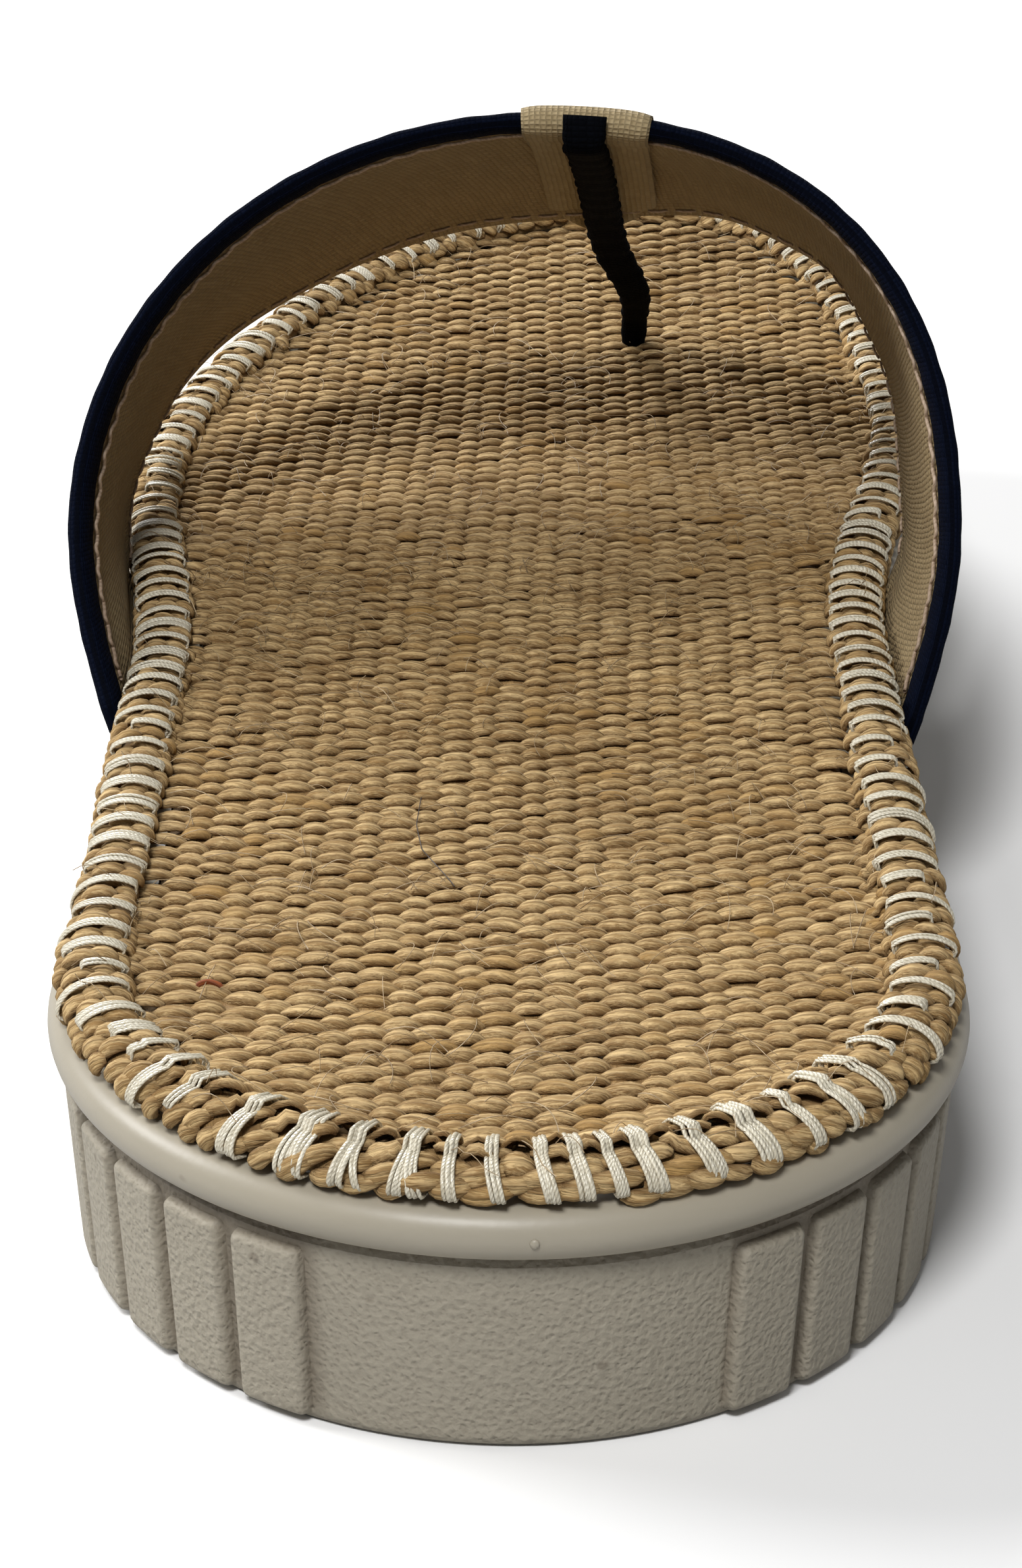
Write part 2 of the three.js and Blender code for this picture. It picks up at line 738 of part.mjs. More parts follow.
const sandal = new THREE.Group();
function addPiece(name, geometry, material) {
  geometry.computeVertexNormals();
  const mesh = new THREE.Mesh(geometry, material);
  mesh.name = name;
  sandal.add(mesh);
}
addPiece('outsole', outsoleGeometry(), rubber);
addPiece('footbed', footbedGeometry(), juteWeave);
addPiece('rim', rimGeometry(), juteRoll);
addPiece('vamp', vampGeometry(), lining);
addPiece('collar_binding', bindingGeometry(), navyTape);
addPiece('keeper', keeperGeometry(), tanTape);
addPiece('thong', thongGeometry(), darkCord);

// The origin: middle of the whole sandal's box, on the floor
const box = new THREE.Box3().setFromObject(sandal);
const middle = box.getCenter(new THREE.Vector3());
sandal.position.set(-middle.x, -middle.y, -box.min.z);
sandal.updateMatrixWorld(true);

export default sandal;
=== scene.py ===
import math

import bmesh
import bpy
import numpy as np
from mathutils import Matrix, Vector


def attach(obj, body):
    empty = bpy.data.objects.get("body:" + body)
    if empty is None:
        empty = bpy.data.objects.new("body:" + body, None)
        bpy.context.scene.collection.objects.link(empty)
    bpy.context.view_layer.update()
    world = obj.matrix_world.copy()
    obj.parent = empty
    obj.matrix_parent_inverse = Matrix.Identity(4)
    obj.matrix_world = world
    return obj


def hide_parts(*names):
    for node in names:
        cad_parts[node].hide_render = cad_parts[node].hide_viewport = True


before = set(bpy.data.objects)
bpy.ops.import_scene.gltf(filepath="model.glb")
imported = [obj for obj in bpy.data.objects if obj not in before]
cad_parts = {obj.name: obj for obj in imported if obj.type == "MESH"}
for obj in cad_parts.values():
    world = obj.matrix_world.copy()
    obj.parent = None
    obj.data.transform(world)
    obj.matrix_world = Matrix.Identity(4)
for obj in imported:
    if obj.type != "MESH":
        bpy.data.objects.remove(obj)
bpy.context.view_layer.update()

chance = np.random.default_rng(7)

# The camera stands close behind the heel. Places are in the row frame, in metres.
photo_height = 2380
focal_pixels = 5727.6
sensor_height = 36.0
camera_place = Vector((0.006295, -0.36058, 0.14007))
camera_pitch = 0.36746
camera_yaw = -0.020883
camera_roll = 0.0075476

# The sole, in its own millimetres: X to the big-toe side, Y from the heel's end, Z up from the floor
sole_shift = np.array([0.97, -131.0, 0.0])  # from the sole's own frame to the row frame
sole_length = 262.0
heel_width = 72.1
waist_width = 73.0
ball_width = 88.2
heel_round = 42.0
toe_tip_shift = 11.6
heel_height = 19.9
fore_height = 22.4
toe_spring = 9.8
arch_rise = 1.5
base_inset = 2.9
bead_radius = 2.0
rib_pitch = 7.5
rib_gap = 1.1
rib_proud = 0.9
rib_foot_rise = 0.5
rib_head_drop = 5.4
panel_width = 33.0
panel_shift = 1.6  # the heel panel's middle lies this far to the big-toe side
tread_width = 3.0
tread_depth = 1.4
tread_pitch = 11.0
tread_margin = 9.0

# Footbed and rim
clearance = 0.3
rim_inset = 0.57
rim_width = 6.36
rim_rise = 3.53
recess_depth = 1.6
footbed_rise = 1.74
footbed_dish = 0.9
recess_inset = rim_inset + rim_width
footbed_inset = recess_inset + clearance
rim_centre_inset = rim_inset + rim_width / 2
rim_centre_rise = 0.34 * (rim_rise - clearance) + clearance / 2

# Upper, keeper and thong
vamp_wall = 1.3
vamp_setback = 167.0
vamp_side_length = 40.0
arch_height = 44.8
collar_lead = 46.0
front_lead = 55.0
side_bulge = 4.45
binding_width = 4.5
binding_proud = 0.3
keeper_width = 12.6
keeper_outer_reach = 10.0
keeper_ease = 3.0
keeper_tip_reach = 3.0
keeper_shift = 4.4
thong_shift = 6.6
thong_top_width = 4.2
thong_foot_width = 3.0
thong_thickness = 1.6
thong_top_angle = 8.0
thong_setback = 46.0
thong_foot_shift = 10.4

# The outline's two sides: shares of the widths, places of waist and ball along the sole, roundness of the toe
medial = dict(name="medial", sign=1, heel=0.495, waist=0.478, ball=0.489, waist_at=0.444, ball_at=0.712,
              toe_round=2.45)
lateral = dict(name="lateral", sign=-1, heel=0.505, waist=0.522, ball=0.511, waist_at=0.377, ball_at=0.64,
               toe_round=1.94)
# Cross sections of the upper at the collar, halfway and at the front edge
vamp_rows = [
    dict(at=0, rise=1, lateral=1, medial=0.92, crown_shift=0.01, bulge_at=0.33, lateral_round=2,
         medial_round=2.35),
    dict(at=0.5, rise=0.79, lateral=0.48, medial=0.66, crown_shift=0.11, bulge_at=0.25, lateral_round=1.96,
         medial_round=2.5),
    dict(at=1, rise=0.54, lateral=0.03, medial=0.48, crown_shift=0.235, bulge_at=0.18, lateral_round=1.92,
         medial_round=2.8),
]
lower_share = 0.18  # share of each half section that lies below the widest level


def smoothstep(low, high, value):
    share = np.clip((value - low) / (high - low), 0, 1)
    return share * share * (3 - 2 * share)


def mix(a, b, share):
    return a + (b - a) * share


def unit(vectors):
    return vectors / np.maximum(np.linalg.norm(vectors, axis=-1, keepdims=True), 1e-9)


def places(x, y, z):
    """Points from their three coordinates."""
    return np.stack(np.broadcast_arrays(x, y, z), axis=-1)


def run_along(points):
    """Length along lines of points, zero at the first point."""
    steps = np.linalg.norm(np.diff(points, axis=0), axis=-1)
    return np.concatenate([0 * steps[:1], np.cumsum(steps, axis=0)])


def rounded(value, power):
    """Squares a wave off (power below 1) and keeps its sign."""
    return np.sign(value) * np.abs(value) ** power


# Heights along the sole
def spring_at(y):
    spring_start = 0.62
    return toe_spring * np.clip((y / sole_length - spring_start) / (1 - spring_start), 0, 1) ** 2


def ground_at(y):
    arch_from, arch_to = 0.28, 0.5
    share = np.clip((y / sole_length - arch_from) / (arch_to - arch_from), 0, 1)
    return arch_rise * np.sin(math.pi * share) ** 2 + spring_at(y)


def bead_top_at(y):
    return mix(heel_height, fore_height, smoothstep(0.15, 0.65, y / sole_length)) + spring_at(y)


# Outline
def half_width(side, y):
    y = np.asarray(y, float)
    heel, waist, ball = heel_width * side["heel"], waist_width * side["waist"], ball_width * side["ball"]
    waist_y, ball_y = side["waist_at"] * sole_length, side["ball_at"] * sole_length
    round_end = heel * np.sqrt(np.clip(1 - (1 - y / heel_round) ** 2, 0, None))
    rear = mix(heel, waist, smoothstep(heel_round, waist_y, y))
    middle = mix(waist, ball, smoothstep(waist_y, ball_y, y))
    tip = side["sign"] * toe_tip_shift
    share = np.clip((y - ball_y) / (sole_length - ball_y), 0, 1)
    toe = tip + (ball - tip) * (1 - share ** side["toe_round"]) ** (1 / side["toe_round"])
    front = np.where(y < ball_y, middle, toe)
    return np.where(y < heel_round, round_end, np.where(y < waist_y, rear, front))


def trace_side(side):
    """Run, place and outward direction along one side, from the heel to the toe."""
    samples = 600
    y = sole_length * (1 - np.cos(math.pi * np.arange(samples + 1) / samples)) / 2
    x = side["sign"] * half_width(side, y)
    dx = np.gradient(x)
    dy = np.gradient(y)
    size = np.hypot(dx, dy)
    nx, ny = side["sign"] * dy / size, -side["sign"] * dx / size
    nx[0], ny[0], nx[-1], ny[-1] = 0, -1, 0, 1
    run = np.concatenate([[0], np.cumsum(np.hypot(np.diff(x), np.diff(y)))])
    return np.stack([run, x, y, nx, ny])


medial_trace = trace_side(medial)
lateral_trace = trace_side(lateral)
toe_distance = medial_trace[0, -1]
edge_run = toe_distance + lateral_trace[0, -1]
back_trace = lateral_trace[:, ::-1][:, 1:].copy()
back_trace[0] = edge_run - back_trace[0]
edge_table = np.concatenate([medial_trace, back_trace], axis=1)


def edge_at(distance):
    """Place and outward direction on the sole's edge, by the distance from the heel up the big-toe side."""
    run = np.mod(distance, edge_run)
    x, y, nx, ny = (np.interp(run, edge_table[0], row) for row in edge_table[1:])
    size = np.hypot(nx, ny)
    return x, y, nx / size, ny / size


def inset_points(distance, inset, height_at):
    x, y, nx, ny = edge_at(distance)
    px, py = x - nx * inset, y - ny * inset
    return places(px, py, height_at(py))


def edge_near(x, y):
    """Distance along the edge and inset of places. Outside the outline the inset is below zero."""
    outline = edge_table[:, ::3]
    flat = np.stack([np.ravel(x), np.ravel(y)], axis=-1)
    nearest = np.empty(len(flat), int)
    for k in range(0, len(flat), 4000):
        gap = flat[k:k + 4000, None, :] - outline[1:3].T[None]
        nearest[k:k + 4000] = (gap ** 2).sum(-1).argmin(1)
    run, edge_x, edge_y, nx, ny = outline[:, nearest]
    off_x, off_y = flat[:, 0] - edge_x, flat[:, 1] - edge_y
    run = run - off_x * ny + off_y * nx
    return run.reshape(np.shape(x)), -(off_x * nx + off_y * ny).reshape(np.shape(x))


# Surfaces of the footbed and the rim
def dish_at(across, along):
    return footbed_dish * (1 - (2 * across - 1) ** 2) * np.sqrt(np.sin(math.pi * np.clip(along, 0, 1)))


def footbed_top_at(x, y):
    left = half_width(lateral, y) - footbed_inset
    right = half_width(medial, y) - footbed_inset
    across = np.clip((right - x) / np.maximum(left + right, 1e-6), 0, 1)
    return bead_top_at(y) + footbed_rise - dish_at(across, y / sole_length)


# Behind the heel the mat's weave lies higher and runs on over the rim without a groove
heel_weave_lift = 1.35


def heel_share(y):
    return 1 - smoothstep(8, 26, y)


def weave_top_at(x, y, inset):
    lift = heel_weave_lift * (1 - smoothstep(4, 13, inset)) * heel_share(y)
    return footbed_top_at(x, y) + lift


def rim_point(distance, degrees, away):
    """A point on the rim's skin, by the distance along the edge and the angle round the rim."""
    angle = np.radians(degrees)
    x, y, nx, ny = edge_at(distance)
    heel = heel_share(y)
    inset = rim_centre_inset - (rim_width / 2 + away) * np.cos(angle)
    level = np.sin(angle) * (1 - 0.22 * heel)
    level = np.where(np.cos(angle) < 0, np.maximum(level, level + heel * (0.62 - 0.45 * level)), level)
    rise = np.maximum(clearance, rim_centre_rise + (rim_rise - rim_centre_rise + away) * level)
    px, py = x - nx * inset, y - ny * inset
    return places(px, py, bead_top_at(py) + rise)


roll_start = 184  # angle round the rim where the mat leaves the footbed
roll_degrees = 20.8  # angle round the rim for each millimetre of the mat


def level_point(x, y, away):
    """The mat's skin over the footbed. Beside the rim it runs on below the rim."""
    return places(x, y, weave_top_at(x, y, edge_near(x, y)[1]) + away)


def mat_point(x, y, away):
    """The mat's skin at a place of the unrolled mat: level over the footbed, then rolled over the rim."""
    distance, inset = edge_near(x, y)
    roll = recess_inset - inset
    degrees = np.clip(roll_start - roll * roll_degrees, -50, roll_start)
    squeeze = 0.5 * pinch_at(distance) * smoothstep(-10, 30, degrees)
    rolled = rim_point(distance, degrees, away - squeeze + 0.1)
    level = places(x, y, weave_top_at(x, y, inset) + away)
    return np.where((roll > 0)[..., None], rolled, level)


# Upper
def vamp_value(column, v):
    """A value of the upper's sections at v, by the curve through its three rows."""
    total = 0
    for row in vamp_rows:
        first, second = (other["at"] for other in vamp_rows if other is not row)
        weight = (v - first) * (v - second) / ((row["at"] - first) * (row["at"] - second))
        total = total + row[column] * weight
    return total


def vamp_foot(side, v):
    y = sole_length - vamp_setback + vamp_side_length * v
    inset = rim_centre_inset - (rim_width / 2 + clearance * 1.3)
    return half_width(side, y) - inset, y, bead_top_at(y) + rim_centre_rise


def arch_point(u, v):
    """Inside surface of the upper: u from the outer foot over the crown to the other, v to the front."""
    u, v = np.broadcast_arrays(np.asarray(u, float), np.asarray(v, float))
    found = []
    medial_reach = vamp_foot(medial, v)[0] + side_bulge * vamp_value("medial", v)
    crown_x = medial_reach * vamp_value("crown_shift", v)
    for side, climb in ((lateral, 2 * u), (medial, 2 * (1 - u))):
        name = side["name"]
        reach, foot_y, foot_z = vamp_foot(side, v)
        bulge = side_bulge * vamp_value(name, v)
        widest = side["sign"] * (reach + bulge)
        rise = arch_height * vamp_value("rise", v)
        bulge_z = foot_z + rise * vamp_value("bulge_at", v)
        low = np.clip(climb / lower_share, 0, 1)
        low_x = side["sign"] * (reach + bulge * np.sin(low * math.pi / 2))
        low_z = mix(foot_z, bulge_z, low)
        angle = np.clip((climb - lower_share) / (1 - lower_share), 0, 1) * math.pi / 2
        power = 2 / vamp_value(name + "_round", v)
        high_x = crown_x + (widest - crown_x) * np.clip(np.cos(angle), 0, 1) ** power
        high_z = bulge_z + (foot_z + rise - bulge_z) * np.sin(angle) ** power
        x = np.where(climb < lower_share, low_x, high_x)
        z = np.where(climb < lower_share, low_z, high_z)
        y = foot_y + mix(collar_lead, front_lead, v) * (z - foot_z) / rise
        found.append(places(x, y, z))
    return np.where((u < 0.5)[..., None], found[0], found[1])


def arch_normal(u, v):
    step = 0.006
    v = np.clip(v, 0, 1)
    across = arch_point(np.clip(u + step, 0, 1), v) - arch_point(np.clip(u - step, 0, 1), v)
    along = arch_point(u, v + step) - arch_point(u, v - step)
    return unit(np.cross(across, along))


def arch_run(u):
    return np.linalg.norm(arch_point(u, 1.0) - arch_point(u, 0.0), axis=-1)


def vamp_point(u, distance, depth):
    """A point of the upper by its distance from the collar edge and its depth outside the lining."""
    v = distance / arch_run(u)
    return arch_point(u, v) + arch_normal(u, v) * np.asarray(depth)[..., None]


def crown_u(x, v):
    low, high = np.full(np.shape(x), 0.15), np.full(np.shape(x), 0.85)
    for _ in range(30):
        middle = (low + high) / 2
        below = arch_point(middle, v)[..., 0] < x
        low, high = np.where(below, middle, low), np.where(below, high, middle)
    return (low + high) / 2


crown_run = float(arch_run(crown_u(np.array((keeper_shift + thong_shift) / 2), np.array(0.5))))


def crown_point(distance, across, depth):
    v = distance / crown_run
    u = crown_u(mix(keeper_shift, thong_shift, v) + across, v)
    return vamp_point(u, distance, depth)


# Meshes
def grid_faces(rows, columns, wrap_rows=False, wrap_columns=False):
    r = np.arange(rows if wrap_rows else rows - 1)[:, None]
    c = np.arange(columns if wrap_columns else columns - 1)[None, :]
    r2, c2 = (r + 1) % rows, (c + 1) % columns
    faces = [r * columns + c, r * columns + c2, r2 * columns + c2, r2 * columns + c]
    return np.stack(np.broadcast_arrays(*faces), axis=-1).reshape(-1, 4)


def without_repeats(faces):
    """Drops a corner that repeats the one before it, and faces that have no area left."""
    faces = [[v for k, v in enumerate(face) if v != face[k - 1]] for face in faces]
    return [face for face in faces if len(set(face)) > 2]


def store(mesh, name, values):
    values = np.asarray(values, np.float32)
    if values.ndim == 2:
        mesh.attributes.new(name, "FLOAT_VECTOR", "POINT").data.foreach_set("vector", values.ravel())
    else:
        mesh.attributes.new(name, "FLOAT", "POINT").data.foreach_set("value", values)


def strip_faces(near, far):
    """Faces between two rows of point numbers."""
    return np.stack([near[:-1], far[:-1], far[1:], near[1:]], axis=-1).tolist()


def make_piece(name, points, faces, material, node, **attributes):
    """A piece from points in the sole's millimetres. Attributes are numbers or places kept at each point."""
    metres = (np.asarray(points, float).reshape(-1, 3) + sole_shift) * 0.001
    faces = faces.tolist() if isinstance(faces, np.ndarray) else faces
    mesh = bpy.data.meshes.new(name)
    mesh.from_pydata(metres.tolist(), [], faces)
    mesh.polygons.foreach_set("use_smooth", np.ones(len(mesh.polygons), bool))
    for attribute, values in attributes.items():
        store(mesh, attribute, values)
    mesh.materials.append(material)
    mesh.update()
    piece = bpy.data.objects.new(name, mesh)
    bpy.context.scene.collection.objects.link(piece)
    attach(piece, "root")
    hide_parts(node)
    return piece


def tubes(paths, half_wide, half_high, up, sides_count=6, arc=None):
    """Many cords at once, from cords x stations x 3 places. With arc (two angles) each one is open below.

    Gives points, faces and each point's place in its own yarn."""
    cords, stations = paths.shape[:2]
    tangent = unit(np.gradient(paths, axis=1))
    across = unit(np.cross(tangent, up))
    top = np.cross(across, tangent)
    if arc:
        angles = np.radians(np.linspace(*arc, sides_count))
    else:
        angles = 2 * math.pi * np.arange(sides_count) / sides_count
    wide = np.broadcast_to(half_wide, (cords, stations))[..., None]
    high = np.broadcast_to(half_high, (cords, stations))[..., None]
    y, z = wide * np.cos(angles), high * np.sin(angles)
    points = paths[:, :, None] + across[:, :, None] * y[..., None] + top[:, :, None] * z[..., None]
    along = run_along(paths.swapaxes(0, 1)).T + 7.3 * (np.arange(cords) % 211)[:, None]
    place = places(along[..., None], y, z)
    one = grid_faces(stations, sides_count, wrap_columns=not arc)
    size = stations * sides_count
    faces = (one[None] + size * np.arange(cords)[:, None, None]).reshape(-1, 4).tolist()
    if not arc:
        for first in range(0, cords * size, size):
            last = first + size - sides_count
            faces.append([first + k for k in range(sides_count)])
            faces.append([last + k for k in reversed(range(sides_count))])
    return points.reshape(-1, 3), faces, place.reshape(-1, 3)


# Shader groups
def shader_group(name, inputs, outputs):
    group = bpy.data.node_groups.new(name, "ShaderNodeTree")
    for label, kind, value in inputs:
        socket = group.interface.new_socket(label, in_out="INPUT", socket_type=kind)
        if value is not None:
            socket.default_value = value
    for label, kind in outputs:
        group.interface.new_socket(label, in_out="OUTPUT", socket_type=kind)
    return group, group.nodes.new("NodeGroupInput"), group.nodes.new("NodeGroupOutput")


class Wires:
    """Short words for placing nodes in one tree and linking them."""

    def __init__(self, tree):
        self.tree = tree

    def put(self, target, value):
        if isinstance(value, bpy.types.NodeSocket):
            self.tree.links.new(value, target)
        elif value is not None:
            target.default_value = (*value, 1) if target.type == "RGBA" else value

    def node(self, kind, inputs=None, **settings):
        made = self.tree.nodes.new(kind)
        for key, value in settings.items():
            setattr(made, key, value)
        for key, value in (inputs or {}).items():
            self.put(made.inputs[key], value)
        return made

    def math(self, operation, a, b=None):
        made = self.node("ShaderNodeMath", operation=operation)
        self.put(made.inputs[0], a)
        self.put(made.inputs[1], b)
        return made.outputs[0]

    def times(self, a, b):
        return self.math("MULTIPLY", a, b)

    def plus(self, a, b):
        return self.math("ADD", a, b)

    def vector(self, operation, a, b=None):
        made = self.node("ShaderNodeVectorMath", operation=operation)
        self.put(made.inputs[0], a)
        self.put(made.inputs[1], b)
        return made.outputs[0]

    def noise(self, vector, scale, detail=2.0, roughness=0.5):
        made = self.node("ShaderNodeTexNoise", {"Vector": vector, "Scale": scale, "Detail": detail,
                                                "Roughness": roughness})
        return made.outputs["Fac"]

    def spread(self, value, low, high, to_low=0.0, to_high=1.0):
        made = self.node("ShaderNodeMapRange", {"Value": value, "From Min": low, "From Max": high,
                                                "To Min": to_low, "To Max": to_high})
        return made.outputs["Result"]

    def blend(self, share, a, b):
        made = self.node("ShaderNodeMix", data_type="RGBA")
        self.put(made.inputs[0], share)
        self.put(made.inputs[6], a)
        self.put(made.inputs[7], b)
        return made.outputs[2]


def yarn_group():
    """Twisted yarn: fibres and strands that wind round each yarn, by each point's place in its own yarn."""
    group, given, out = shader_group(
        "Twisted yarn",
        [("Place", "NodeSocketVector", None), ("Turns per mm", "NodeSocketFloat", 0.1),
         ("Strands", "NodeSocketFloat", 2.0), ("Fibre", "NodeSocketFloat", 0.1)],
        [("Fibres", "NodeSocketFloat"), ("Strand height", "NodeSocketFloat"), ("Height", "NodeSocketFloat")])
    w = Wires(group)
    parts = w.node("ShaderNodeSeparateXYZ", {0: given.outputs["Place"]})
    turns = w.times(parts.outputs[0], given.outputs["Turns per mm"])
    turn = w.times(turns, 2 * math.pi)
    turned = w.node("ShaderNodeVectorRotate", {"Vector": given.outputs["Place"], "Angle": turn},
                    rotation_type="X_AXIS")
    ahead = w.node("ShaderNodeSeparateXYZ", {0: turned.outputs[0]})
    angle = w.math("ARCTAN2", ahead.outputs[2], ahead.outputs[1])
    wave = w.math("COSINE", w.times(angle, given.outputs["Strands"]))
    strand = w.math("SQRT", w.plus(w.times(wave, 0.5), 0.5))
    finer = w.math("DIVIDE", 1.0, given.outputs["Fibre"])
    stretch = w.node("ShaderNodeCombineXYZ", {0: w.times(finer, 0.11), 1: finer, 2: finer})
    stretched = w.vector("MULTIPLY", turned.outputs[0], stretch.outputs[0])
    fine = w.noise(stretched, 1.0, 2.5, 0.6)
    broad = w.noise(stretched, 0.32, 1.0, 0.5)
    fibres = w.spread(w.plus(w.times(fine, 0.65), w.times(broad, 0.35)), 0.38, 0.62)
    height = w.plus(w.times(strand, 0.6), w.times(fibres, 0.4))
    w.put(out.inputs["Fibres"], fibres)
    w.put(out.inputs["Strand height"], strand)
    w.put(out.inputs["Height"], height)
    return group


def cloth_group():
    """Plain woven cloth: threads over and under each other, by a flat place in millimetres."""
    group, given, out = shader_group(
        "Woven cloth",
        [("Place", "NodeSocketVector", None), ("Pitch across", "NodeSocketFloat", 0.6),
         ("Pitch along", "NodeSocketFloat", 0.6), ("Slub", "NodeSocketFloat", 0.3)],
        [("Height", "NodeSocketFloat"), ("Gap", "NodeSocketFloat"), ("Thread tone", "NodeSocketFloat")])
    w = Wires(group)
    slow = w.node("ShaderNodeTexNoise", {"Vector": given.outputs["Place"], "Scale": 0.35, "Detail": 2.0})
    centred = w.vector("SUBTRACT", slow.outputs["Color"], (0.5, 0.5, 0.5))
    wander = w.node("ShaderNodeVectorMath", {0: centred, "Scale": given.outputs["Slub"]}, operation="SCALE")
    placed = w.vector("ADD", given.outputs["Place"], wander.outputs[0])
    parts = w.node("ShaderNodeSeparateXYZ", {0: placed})
    across = w.math("DIVIDE", parts.outputs[0], given.outputs["Pitch across"])
    along = w.math("DIVIDE", parts.outputs[1], given.outputs["Pitch along"])
    odd = w.math("PINGPONG", w.plus(w.math("FLOOR", across), w.math("FLOOR", along)), 1.0)
    hump_across = w.math("ABSOLUTE", w.math("SINE", w.times(across, math.pi)))
    hump_along = w.math("ABSOLUTE", w.math("SINE", w.times(along, math.pi)))
    over = w.times(hump_across, w.math("POWER", hump_along, 0.35))
    under = w.times(hump_along, w.math("POWER", hump_across, 0.35))
    height = w.node("ShaderNodeMix", {0: odd, 2: over, 3: under}, data_type="FLOAT")
    threads = w.node("ShaderNodeCombineXYZ", {0: w.math("FLOOR", across), 1: w.times(along, 0.15),
                                              2: odd})
    tone = w.noise(threads.outputs[0], 0.9, 1.0)
    w.put(out.inputs["Height"], height.outputs[0])
    w.put(out.inputs["Gap"], w.spread(height.outputs[0], 0.1, 0.5, 1.0, 0.0))
    w.put(out.inputs["Thread tone"], tone)
    return group


def unevenness_group():
    """A soft mask over the whole object, with patches of about the given size."""
    group, given, out = shader_group(
        "Soft unevenness", [("Size mm", "NodeSocketFloat", 20.0)], [("Mask", "NodeSocketFloat")])
    w = Wires(group)
    place = w.node("ShaderNodeTexCoord").outputs["Object"]
    scale = w.math("DIVIDE", 1000.0, given.outputs["Size mm"])
    w.put(out.inputs["Mask"], w.spread(w.noise(place, scale, 3.0, 0.55), 0.3, 0.7))
    return group


twisted_yarn = yarn_group()
woven_cloth = cloth_group()
soft_unevenness = unevenness_group()


def new_material(name, roughness, **sockets):
    """A material with its own Principled shader and short words for its nodes."""
    material = bpy.data.materials.new(name)
    material.use_nodes = True
    tree = material.node_tree
    shader = tree.nodes["Principled BSDF"]
    shader.inputs["Roughness"].default_value = roughness
    for key, value in sockets.items():
        shader.inputs[key.replace("_", " ")].default_value = value
    return material, Wires(tree), shader


def attribute(w, name, vector=False):
    made = w.node("ShaderNodeAttribute", attribute_name=name, attribute_type="GEOMETRY")
    return made.outputs["Vector" if vector else "Fac"]


def placed_group(w, group, **inputs):
    made = w.node("ShaderNodeGroup", node_tree=group)
    for key, value in inputs.items():
        w.put(made.inputs[key.replace("_", " ")], value)
    return made


def bump(w, shader, height, distance_mm):
    made = w.node("ShaderNodeBump", {"Height": height, "Distance": distance_mm * 0.001})
    w.put(shader.inputs["Normal"], made.outputs[0])


def yarn_material(name, pale, dark, gap, turns, strands, fibre, relief, roughness=0.8, warm=None, **sockets):
    """Yarn from two fibre colours, a darker gap colour (painted shade, soft patches), and a warm colour that
    some yarns take.
    """
    material, w, shader = new_material(name, roughness, **sockets)
    yarn = placed_group(w, twisted_yarn, Place=attribute(w, "yarn_place", True), Turns_per_mm=turns,
                        Strands=strands, Fibre=fibre)
    tone = attribute(w, "yarn_tone")
    fibres = w.spread(yarn.outputs["Fibres"], 0.25, 0.75, 0.0, 0.75)
    fibre_share = w.plus(fibres, w.times(tone, 0.4))
    colour = w.blend(fibre_share, dark, pale)
    if warm:
        colour = w.blend(w.spread(attribute(w, "yarn_warmth"), 0.6, 1.0, 0.0, 0.75), colour, warm)
    patch = placed_group(w, soft_unevenness, Size_mm=17.0)
    colour = w.blend(w.times(patch.outputs["Mask"], 0.22), colour, gap)
    # Painted shade in the hollows between the twisted strands
    low = w.math("SUBTRACT", 1.0, yarn.outputs["Strand height"])
    colour = w.blend(w.times(low, 0.45), colour, gap)
    # Painted shade on the floats' undersides and ends, and toward the threads' ends
    w.put(shader.inputs["Base Color"], w.blend(attribute(w, "yarn_depth"), colour, gap))
    bump(w, shader, yarn.outputs["Height"], relief)
    return material


def cloth_material(name, pale, dark, across, along, relief, roughness=0.85, **sockets):
    """Woven cloth or tape from a pale and a dark thread colour."""
    material, w, shader = new_material(name, roughness, **sockets)
    cloth = placed_group(w, woven_cloth, Place=attribute(w, "cloth_place", True), Pitch_across=across,
                         Pitch_along=along, Slub=0.35)
    colour = w.blend(w.spread(cloth.outputs["Thread tone"], 0.3, 0.7), dark, pale)
    # Painted shade in the gaps between the threads
    colour = w.blend(w.times(cloth.outputs["Gap"], 0.35), colour, [0.4 * c for c in dark])
    patch = placed_group(w, soft_unevenness, Size_mm=24.0)
    colour = w.blend(w.times(patch.outputs["Mask"], 0.25), colour, dark)
    w.put(shader.inputs["Base Color"], colour)
    bump(w, shader, cloth.outputs["Height"], relief)
    return material


